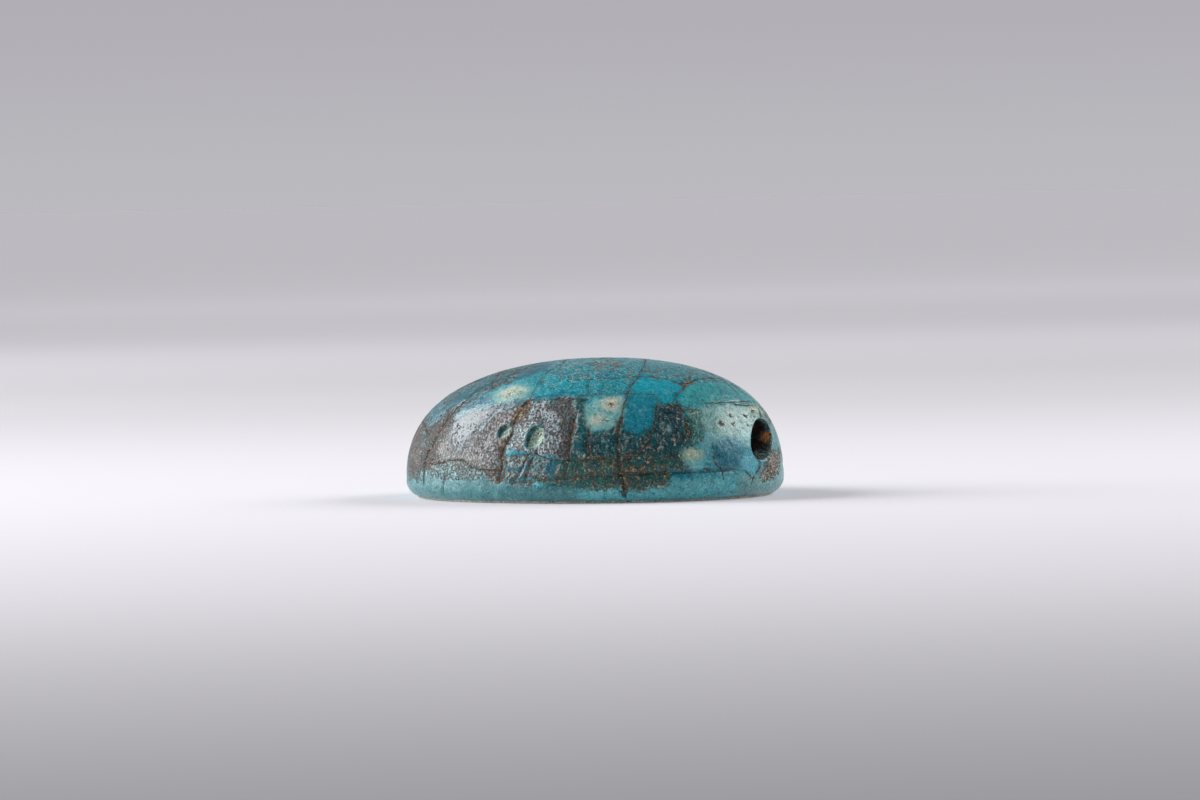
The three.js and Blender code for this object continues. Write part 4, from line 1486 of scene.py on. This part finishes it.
class FinishGroups:
    """The shader groups that the glaze, the base and the bore share."""

    def __init__(self) -> None:
        """Builds the groups."""
        self.dirt = Dirt()
        self.soil = self.build_soil()
        self.crack = self.build_crack()
        self.aged = self.build_aged()

    def start(self, name: str, inputs: dict[str, str], outputs: dict[str, str]) -> tuple[Wiring, object,
                                                                                         object]:
        """Starts a group.

        Args:
            name: The group's name.
            inputs: The kind of each input, by name.
            outputs: The kind of each output, by name.

        Returns:
            The wiring, the inputs' sockets and the output node.
        """
        tree = bpy.data.node_groups.new(name, "ShaderNodeTree")
        for way, group in (("INPUT", inputs), ("OUTPUT", outputs)):
            for socket, kind in group.items():
                tree.interface.new_socket(socket, in_out=way, socket_type=f"NodeSocket{kind}")
        wiring = Wiring(tree)
        return wiring, wiring.add("NodeGroupInput").outputs, wiring.add("NodeGroupOutput")

    def build_soil(self) -> bpy.types.NodeTree:
        """Builds the group that gives the colour and the lumps of packed soil."""
        w, given, out = self.start("packed soil", {"Place": "Vector"}, {"Colour": "Color", "Lumps": "Float"})
        lumps = w.noise(given["Place"], 8.0, 2.0, 0.65)
        w.put(out.inputs["Colour"], w.ramp(lumps, self.dirt.stops()))
        w.put(out.inputs["Lumps"], lumps)
        return w.tree

    def build_crack(self) -> bpy.types.NodeTree:
        """Builds the group that turns distances to a crack into a dark line, packed soil and a stain."""
        w, given, out = self.start("ragged crack", {"Distances": "Vector", "Place": "Vector",
                                                    "Wobble": "Float"},
                                   {"Line": "Float", "Packed": "Float", "Stain": "Float"})
        place = given["Place"]
        parts = w.add("ShaderNodeSeparateXYZ")
        w.put(parts.inputs[0], given["Distances"])
        across, near, width = (parts.outputs[name] for name in "XYZ")
        sway = w.math("MULTIPLY", w.math("SUBTRACT", w.noise(place, 2.6, 5.0, 0.62), 0.5), given["Wobble"])
        jag = w.math("MULTIPLY", w.math("SUBTRACT", w.noise(place, 9.0, 3.0, 0.75), 0.5), 0.17)
        line = w.math("ABSOLUTE", w.math("ADD", across, w.math("ADD", sway, jag)))
        swell = w.ranged(w.noise(place, 1.7, 3.0, 0.6), 0.34, 0.66, 0.35, 1.55)
        half = w.math("MULTIPLY", w.math("MULTIPLY", width, 0.5), swell)
        beside = w.math("SUBTRACT", near, w.math("MULTIPLY", width, 0.5))
        gate = w.ranged(beside, 0.22, 0.13)
        fine = w.math("ADD", w.math("MULTIPLY", half, 0.42), 0.010)
        dark = w.ranged(w.math("DIVIDE", line, fine), 1.35, 0.6)
        broken = w.ranged(w.noise(place, 3.3, 4.0, 0.7), 0.36, 0.47, 0.25, 1.0)
        w.put(out.inputs["Line"], w.math("MULTIPLY", dark, w.math("MULTIPLY", gate, broken)))
        lumps = w.math("MULTIPLY", w.math("SUBTRACT", w.noise(place, 6.5, 2.0, 0.7), 0.5), 3.6)
        share = w.math("SUBTRACT", 1.0, w.math("DIVIDE", line, w.math("MAXIMUM", half, 0.02)))
        packed = w.ranged(w.math("ADD", w.math("MULTIPLY", share, 0.8), lumps), 0.16, 0.40)
        w.put(out.inputs["Packed"], w.math("MULTIPLY", packed, gate))
        patchy = w.ranged(w.noise(place, 2.1, 3.0), 0.38, 0.62)
        w.put(out.inputs["Stain"], w.math("MULTIPLY", w.ranged(beside, 0.2, 0.0), patchy))
        return w.tree

    def place_crack(self, w: Wiring, layer: str, place: object, wobble: float) -> bpy.types.Node:
        """Places the crack group for one layer of distances."""
        node = w.add("ShaderNodeGroup", node_tree=self.crack)
        distances = w.add("ShaderNodeAttribute", attribute_name=layer)
        w.put(node.inputs["Distances"], distances.outputs["Vector"])
        w.put(node.inputs["Place"], place)
        node.inputs["Wobble"].default_value = wobble
        return node

    def build_aged(self) -> bpy.types.NodeTree:
        """Builds the group that weathers the glaze and the body that shows where it is gone."""
        w, given, out = self.start(
            "aged surface",
            {"Glaze": "Color", "Body": "Color", "Wear": "Float", "Soil": "Float", "Groove": "Float",
             "Gloss": "Float"},
            {"Colour": "Color", "Roughness": "Float", "Height": "Float"})
        place = w.millimetres()
        broad = w.noise(place, 0.8, 6.0, 0.62)
        fine = w.noise(place, 3.4, 5.0, 0.65)
        patchy = w.math("MULTIPLY", w.math("SUBTRACT", w.noise(place, 1.6, 3.0, 0.6), 0.5), 0.30)
        grain = w.math("ADD", w.noise(place, 9.5, 1.5, 0.65), patchy)
        pits = w.ranged(w.cells(self.drift(w, place, 5.0, 0.16), 2.5), 0.20, 0.11)
        dust = w.noise(place, 14.0, 1.0)
        ragged = w.math("MULTIPLY", w.math("SUBTRACT", w.noise(place, 4.2, 6.0, 0.74), 0.5), 1.5)
        ragged = w.math("ADD", ragged, w.math("MULTIPLY", w.math("SUBTRACT", grain, 0.5), 1.2))
        worn = w.ranged(w.math("ADD", given["Wear"], ragged), 0.30, 0.70)
        glaze = self.glaze_colour(w, given["Glaze"], given["Soil"], (broad, fine, grain, dust))
        body = self.body_colour(w, given["Body"], given["Soil"], place, (grain, pits, dust))
        colour = w.blend(worn, glaze, body)

        groove_place = w.math("DIVIDE", given["Groove"], 0.12)
        frayed = w.math("ADD", groove_place, w.math("SUBTRACT", w.noise(place, 8.0, 3.0), 0.5))
        sound = w.math("SUBTRACT", 1.0, worn)
        groove = w.math("MULTIPLY", w.ranged(frayed, 1.0, 0.45), w.ranged(broad, 0.38, 0.52))
        groove = w.math("MULTIPLY", groove, w.math("MULTIPLY", sound, 0.85))
        colour = w.blend(groove, colour, (0.20, 0.40, 0.42), "MULTIPLY")

        packed = w.add("ShaderNodeGroup", node_tree=self.soil)
        w.put(packed.inputs["Place"], place)
        run_down = w.millimetres((7.4, 7.4, 2.9))
        scatter = w.math("ADD", w.math("MULTIPLY", w.noise(place, 4.4, 3.0, 0.76), 0.74),
                         w.math("MULTIPLY", w.noise(run_down, 1.0, 2.0, 0.7), 0.26))
        reach = w.math("SUBTRACT", scatter, w.math("SUBTRACT", 0.665,
                                                   w.math("MULTIPLY", given["Soil"], 0.27)))
        cover = w.ranged(reach, 0.0, 0.045)
        line, crust, stain = 0.0, 0.0, 0.0
        for run, wobble in ((Run.UPWARDS, 0.26), (Run.LENGTHWISE, 0.28)):
            node = self.place_crack(w, run.value, place, wobble)
            line = w.math("MAXIMUM", line, node.outputs["Line"])
            crust = w.math("MAXIMUM", crust, node.outputs["Packed"])
            stain = w.math("MAXIMUM", stain, node.outputs["Stain"])
        colour = w.blend(w.math("MULTIPLY", stain, 0.5), colour, (0.46, 0.46, 0.38), "MULTIPLY")
        earth = w.math("MAXIMUM", cover, crust)
        colour = w.blend(w.math("MULTIPLY", earth, 0.9), colour, packed.outputs["Colour"])
        colour = w.blend(w.math("MULTIPLY", line, 0.85), colour, (0.022, 0.016, 0.011))
        w.put(out.inputs["Colour"], colour)

        rough = w.math("ADD", given["Gloss"], w.math("MULTIPLY", fine, 0.14))
        dull = w.math("ADD", w.math("MULTIPLY", given["Soil"], 0.4), 0.26)
        rough = w.math("ADD", rough, w.math("MULTIPLY", given["Wear"], dull))
        w.put(out.inputs["Roughness"], w.pick(w.math("MAXIMUM", earth, line), 0.80, rough))

        height = w.math("MULTIPLY", broad, 0.05)
        height = w.math("ADD", height, w.math("MULTIPLY", fine, 0.028))
        height = w.math("ADD", height, w.math("MULTIPLY", dust, 0.003))
        pitted = w.math("ADD", w.math("MULTIPLY", w.ranged(grain, 0.36, 0.64), 0.045),
                        w.math("MULTIPLY", pits, 0.05))
        height = w.math("SUBTRACT", height, w.math("MULTIPLY", pitted, worn))
        height = w.math("SUBTRACT", height, w.math("MULTIPLY", worn, 0.008))
        lumps = w.math("MULTIPLY", packed.outputs["Lumps"], earth)
        height = w.math("ADD", height, w.math("MULTIPLY", lumps, 0.07))
        height = w.math("SUBTRACT", height, w.math("MULTIPLY", line, 0.06))
        height = w.math("SUBTRACT", height, w.math("MULTIPLY", groove, 0.02))
        w.put(out.inputs["Height"], height)
        return w.tree

    def drift(self, w: Wiring, place: object, scale: float, reach: float) -> bpy.types.NodeSocket:
        """Moves places about by seeded noise, so that patterns bend and break up."""
        noise = w.add("ShaderNodeTexNoise")
        w.put(noise.inputs["Vector"], place)
        noise.inputs["Scale"].default_value = scale
        pushed = w.add("ShaderNodeVectorMath", operation="MULTIPLY_ADD")
        w.put(pushed.inputs[0], noise.outputs["Color"])
        pushed.inputs[1].default_value = (reach, reach, reach)
        w.put(pushed.inputs[2], place)
        return pushed.outputs[0]

    def strokes(self, w: Wiring) -> bpy.types.NodeSocket:
        """Gives noise drawn out into short leaning scratches that run mostly upwards."""
        bent = self.drift(w, w.millimetres(), 0.9, 1.1)
        drawn_out = w.add("ShaderNodeMapping")
        w.put(drawn_out.inputs["Vector"], bent)
        drawn_out.inputs["Scale"].default_value = (7.0, 7.0, 2.0)
        return w.noise(drawn_out.outputs["Vector"], 1.0, 1.5, 0.65)

    def glaze_colour(self, w: Wiring, colour: object, soil: object, noises: tuple) -> bpy.types.NodeSocket:
        """Mottles and streaks the glaze.

        Args:
            w: The wiring of the group.
            colour: The glaze's own colour.
            soil: How soiled it is.
            noises: Broad and fine noise, the grain and very fine noise.

        Returns:
            The mottled colour.
        """
        broad, fine, grain, dust = noises
        colour = w.blend(w.math("MULTIPLY", w.ranged(broad, 0.45, 0.66), 0.65), colour,
                         (0.36, 0.70, 0.76), "MULTIPLY")
        colour = w.blend(w.math("MULTIPLY", w.ranged(fine, 0.54, 0.70), 0.30), colour, (0.34, 0.56, 0.54))
        colour = w.blend(w.math("MULTIPLY", w.ranged(fine, 0.47, 0.34), 0.8), colour, (0.28, 0.56, 0.60),
                         "MULTIPLY")
        streak = w.noise(w.millimetres((5.4, 5.4, 1.3)), 1.0, 5.0, 0.7)
        colour = w.blend(w.math("MULTIPLY", w.ranged(streak, 0.53, 0.62), 0.5), colour, (0.34, 0.50, 0.46),
                         "MULTIPLY")
        pale = w.noise(w.millimetres((0.8, 2.6, 2.6)), 1.0, 5.0, 0.68)
        colour = w.blend(w.math("MULTIPLY", w.ranged(pale, 0.57, 0.68), 0.22), colour, (0.42, 0.54, 0.50))
        scratch = self.strokes(w)
        scored = w.math("MULTIPLY", w.ranged(soil, 0.17, 0.27), w.ranged(soil, 0.52, 0.36))
        scraped = w.math("MULTIPLY", w.ranged(scratch, 0.425, 0.375), w.math("MULTIPLY", scored, 0.75))
        tint = w.blend(w.ranged(fine, 0.42, 0.58), (0.34, 0.26, 0.19), (0.30, 0.38, 0.33))
        colour = w.blend(scraped, colour, tint)
        gaps = w.math("MULTIPLY", w.ranged(scratch, 0.54, 0.60), w.math("MULTIPLY", scored, 0.8))
        colour = w.blend(gaps, colour, (0.18, 0.30, 0.26), "MULTIPLY")
        speckled = w.ranged(soil, 0.12, 0.28, 0.3, 1.0)
        for noise, dark, light in ((grain, (0.28, 0.46, 0.46), (2.0, 1.55, 1.5)),
                                   (dust, (0.26, 0.34, 0.32), (1.7, 1.5, 1.45))):
            shade = w.math("MULTIPLY", w.ranged(noise, 0.54, 0.62), w.math("MULTIPLY", speckled, 0.8))
            colour = w.blend(shade, colour, dark, "MULTIPLY")
            glint = w.math("MULTIPLY", w.ranged(noise, 0.45, 0.37), speckled)
            colour = w.blend(glint, colour, light, "MULTIPLY")
        return w.blend(w.math("MULTIPLY", w.ranged(dust, 0.38, 0.31), 0.16), colour, (0.66, 0.70, 0.66))

    def body_colour(self, w: Wiring, colour: object, soil: object, place: object,
                    noises: tuple) -> bpy.types.NodeSocket:
        """Pits and tints the body where the glaze is gone.

        Args:
            w: The wiring of the group.
            colour: The body's own colour.
            soil: How soiled it is.
            place: The place in millimetres.
            noises: The grain, the pits and very fine noise.

        Returns:
            The tinted colour.
        """
        grain, pits, dust = noises
        rosy = w.ranged(w.noise(place, 1.9, 4.0), 0.48, 0.66)
        colour = w.blend(w.math("MULTIPLY", rosy, 0.30), colour, (0.30, 0.22, 0.195))
        teal = w.ranged(w.noise(place, 2.7, 5.0, 0.65), 0.56, 0.66)
        colour = w.blend(w.math("MULTIPLY", teal, 0.40), colour, (0.08, 0.24, 0.26))
        keen = w.ranged(soil, 0.03, 0.16, 0.42, 1.0)
        specks = w.math("MULTIPLY", w.ranged(grain, 0.535, 0.575), keen)
        colour = w.blend(w.math("MULTIPLY", specks, 0.95), colour, (0.018, 0.018, 0.016))
        flecks = w.math("MULTIPLY", w.ranged(grain, 0.47, 0.41), w.math("MULTIPLY", keen, 0.7))
        colour = w.blend(flecks, colour, (2.7, 2.6, 2.5), "MULTIPLY")
        colour = w.blend(w.math("MULTIPLY", pits, 0.8), colour, (0.026, 0.022, 0.017))
        return w.blend(w.math("MULTIPLY", w.ranged(dust, 0.56, 0.66), 0.5), colour, (0.36, 0.36, 0.34),
                       "MULTIPLY")


@dataclass(frozen=True)
class Finish:
    """One finish. Without colours of its own it takes what the bead's corners keep."""

    name: str
    gloss: float
    wear: float = 0.0
    soil: float = 0.0
    body: Colour | None = None
    remains: Colour | None = None


# The back, then the worn stone of the base, then the dark wall of the bore
GLAZE_FINISH = Finish("cracked turquoise glaze", 0.20)
BASE_FINISH = Finish("worn steatite base", 0.42, 0.55, 0.30, (158, 150, 130), (84, 132, 130))
# The bore takes its colours from the corners: dark soil with painted shade deeper in
BORE_FINISH = Finish("soiled and shaded bore wall", 0.45)


class FinishMaker:
    """Turns finishes into materials."""

    def __init__(self) -> None:
        """Builds the groups that all finishes share."""
        self.groups = FinishGroups()

    def make(self, finish: Finish) -> bpy.types.Material:
        """Builds one material.

        Args:
            finish: What it is like.

        Returns:
            The material.
        """
        material = bpy.data.materials.new(finish.name)
        material.use_nodes = True
        material.node_tree.nodes.clear()
        w = Wiring(material.node_tree)
        aged = w.add("ShaderNodeGroup", node_tree=self.groups.aged)
        state = w.add("ShaderNodeSeparateXYZ")
        w.put(state.inputs[0], w.add("ShaderNodeAttribute", attribute_name="glaze_state").outputs["Vector"])
        if finish.body is None:
            for name, layer in (("Glaze", "glaze_colour"), ("Body", "body_colour")):
                w.put(aged.inputs[name], w.add("ShaderNodeAttribute", attribute_name=layer).outputs["Color"])
            for name, part in (("Wear", "X"), ("Soil", "Y"), ("Groove", "Z")):
                w.put(aged.inputs[name], state.outputs[part])
        else:
            broad = w.noise(w.millimetres(), 0.7, 6.0, 0.6)
            tint = w.ranged(broad, 0.40, 0.62)
            aged.inputs["Glaze"].default_value = (*linear(finish.remains), 1.0)
            w.put(aged.inputs["Body"], w.blend(tint, linear(finish.body), tuple(
                c * 0.62 for c in linear(finish.body))))
            w.put(aged.inputs["Wear"], w.math("ADD", w.math("MULTIPLY", w.math("SUBTRACT", 0.5, broad), 1.6),
                                              finish.wear))
            w.put(aged.inputs["Soil"], w.math("ADD", w.math("MULTIPLY", state.outputs["Y"], 0.6),
                                              finish.soil))
            aged.inputs["Groove"].default_value = 1.0
        aged.inputs["Gloss"].default_value = finish.gloss
        shader = w.add("ShaderNodeBsdfPrincipled")
        w.put(shader.inputs["Base Color"], aged.outputs["Colour"])
        w.put(shader.inputs["Roughness"], aged.outputs["Roughness"])
        shader.inputs["IOR"].default_value = 1.58
        bump = w.add("ShaderNodeBump")
        bump.inputs["Strength"].default_value = 1.0
        bump.inputs["Distance"].default_value = MM
        w.put(bump.inputs["Height"], aged.outputs["Height"])
        w.put(shader.inputs["Normal"], bump.outputs["Normal"])
        w.put(w.add("ShaderNodeOutputMaterial").inputs["Surface"], shader.outputs["BSDF"])
        return material


@dataclass(frozen=True)
class Softbox:
    """A softbox: its bearing and rise seen from the seal, its distance, width and height, and its power."""

    name: str
    azimuth: float
    elevation: float
    distance: float
    width: float
    height: float
    power: float


@dataclass(frozen=True)
class Fade:
    """A smooth change of the floor's light, between two distances past the seal in millimetres."""

    start: float
    end: float
    change: float


@dataclass(frozen=True)
class Studio:
    """A pale floor that falls off into a grey room, with soft light from both sides."""

    floor_reach: float = 6000.0
    backdrop: Colour = (177, 175, 181)
    horizon: Colour = (187, 186, 191)
    room: Colour = (96, 96, 100)
    floor_tint: Colour = (248, 246, 251)
    floor_roughness: float = 0.7
    softboxes: tuple[Softbox, ...] = (
        Softbox("left softbox", -72, 26, 300, 230, 230, 1.45),
        Softbox("right softbox", 136, 34, 300, 280, 150, 0.62),
    )
    # The paper's colour carries painted light falloff: its share near the camera, then brighter, dim behind
    # the seal and bright beyond
    front_painted_light: float = 0.4
    painted_light_falloff: tuple[Fade, ...] = (Fade(-160, -50, 0.38), Fade(0, 120, -0.21), Fade(150, 270, 0.25))
    # The light that comes through the paper round the seal and far behind it
    glow: tuple[Fade, ...] = (Fade(-100, 0, 0.14), Fade(230, 500, 0.26))

    def build(self, view: PhotoView) -> None:
        """Builds the floor, the room's light and the softboxes.

        Args:
            view: The photograph's view, which the floor falls off along.
        """
        toward = view.axes()[2][:2]
        away = -toward / np.linalg.norm(toward)
        self.light_room(away)
        self.lay_floor(away)
        for softbox in self.softboxes:
            self.hang(softbox)

    def light_room(self, away: Array) -> None:
        """Fills the room with grey light, brighter from the backdrop behind the seal."""
        world = bpy.data.worlds.new("grey room")
        world.use_nodes = True
        w = Wiring(world.node_tree)
        facing = w.add("ShaderNodeVectorMath", operation="DOT_PRODUCT")
        w.put(facing.inputs[0], w.add("ShaderNodeTexCoord").outputs["Generated"])
        facing.inputs[1].default_value = (*away, 0)
        parts = w.add("ShaderNodeSeparateXYZ")
        w.put(parts.inputs[0], w.add("ShaderNodeTexCoord").outputs["Generated"])
        share = w.math("MULTIPLY", w.ranged(facing.outputs["Value"], -0.2, 0.7),
                       w.ranged(parts.outputs["Z"], 0.75, 0.08))
        dimmed = w.ranged(parts.outputs["Z"], -0.004, 0.036)
        light = world.node_tree.nodes["Background"]
        backdrop = w.blend(dimmed, linear(self.horizon), linear(self.backdrop))
        w.put(light.inputs["Color"], w.blend(share, linear(self.room), backdrop))
        light.inputs["Strength"].default_value = 1.0
        bpy.context.scene.world = world

    def lay_floor(self, away: Array) -> None:
        """Lays the floor, which is stage and no part of the seal; its colour carries painted light falloff.
        """
        reach = self.floor_reach * MM
        mesh = bpy.data.meshes.new("pale floor")
        corners = [(-reach, -reach, 0), (reach, -reach, 0), (reach, reach, 0), (-reach, reach, 0)]
        mesh.from_pydata(corners, [], [(0, 1, 2, 3)])
        floor = bpy.data.objects.new("pale_floor", mesh)
        bpy.context.scene.collection.objects.link(floor)
        material = bpy.data.materials.new("pale paper")
        material.use_nodes = True
        w = Wiring(material.node_tree)
        shader = material.node_tree.nodes["Principled BSDF"]
        past = w.add("ShaderNodeVectorMath", operation="DOT_PRODUCT")
        w.put(past.inputs[0], w.millimetres())
        past.inputs[1].default_value = (*away, 0)
        # Base Color carries the painted light falloff; Emission Color is the glow of light through the paper
        for name, share, fades in (("Base Color", self.front_painted_light, self.painted_light_falloff),
                                   ("Emission Color", 0.0, self.glow)):
            for fade in fades:
                change = w.ranged(past.outputs["Value"], fade.start, fade.end, 0.0, fade.change)
                share = w.math("ADD", share, change)
            w.put(shader.inputs[name], w.blend(share, (0.0, 0.0, 0.0), linear(self.floor_tint)))
        shader.inputs["Emission Strength"].default_value = 1.0
        shader.inputs["Roughness"].default_value = self.floor_roughness
        shader.inputs["Specular IOR Level"].default_value = 0.2
        mesh.materials.append(material)

    def hang(self, softbox: Softbox) -> None:
        """Hangs one softbox and turns it towards the seal."""
        data = bpy.data.lights.new(softbox.name, "AREA")
        data.shape = "RECTANGLE"
        data.size = softbox.width * MM
        data.size_y = softbox.height * MM
        data.energy = softbox.power
        azimuth, elevation = math.radians(softbox.azimuth), math.radians(softbox.elevation)
        toward = Vector((math.sin(azimuth) * math.cos(elevation), -math.cos(azimuth) * math.cos(elevation),
                         math.sin(elevation)))
        light = bpy.data.objects.new(softbox.name, data)
        light.location = toward * softbox.distance * MM
        light.rotation_euler = toward.to_track_quat("Z", "Y").to_euler()
        bpy.context.scene.collection.objects.link(light)


def main() -> None:
    """Builds the studio and the seal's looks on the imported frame."""
    logging.basicConfig(level=logging.INFO, format="%(name)s: %(message)s")
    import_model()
    bpy.context.scene.view_settings.view_transform = "Standard"
    form, view = SealForm(), PhotoView()
    view.make_camera()
    Studio().build(view)
    LOG.info("studio and camera stand")

    maker = FinishMaker()
    materials = {"Glaze": maker.make(GLAZE_FINISH), "Base Finish": maker.make(BASE_FINISH),
                 "Bore Finish": maker.make(BORE_FINISH)}
    bead = BeadBlank(form, BeadCells()).build(materials)
    LOG.info("bead blank: %d corners", len(bead.data.vertices))
    Ageing(Surface(bead, form), view).apply(BaseDesign())
    LOG.info("aged bead: %d faces", len(bead.data.polygons))
    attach(bead, "root")
    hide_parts(NODE)


if __name__ == "__main__":
    main()
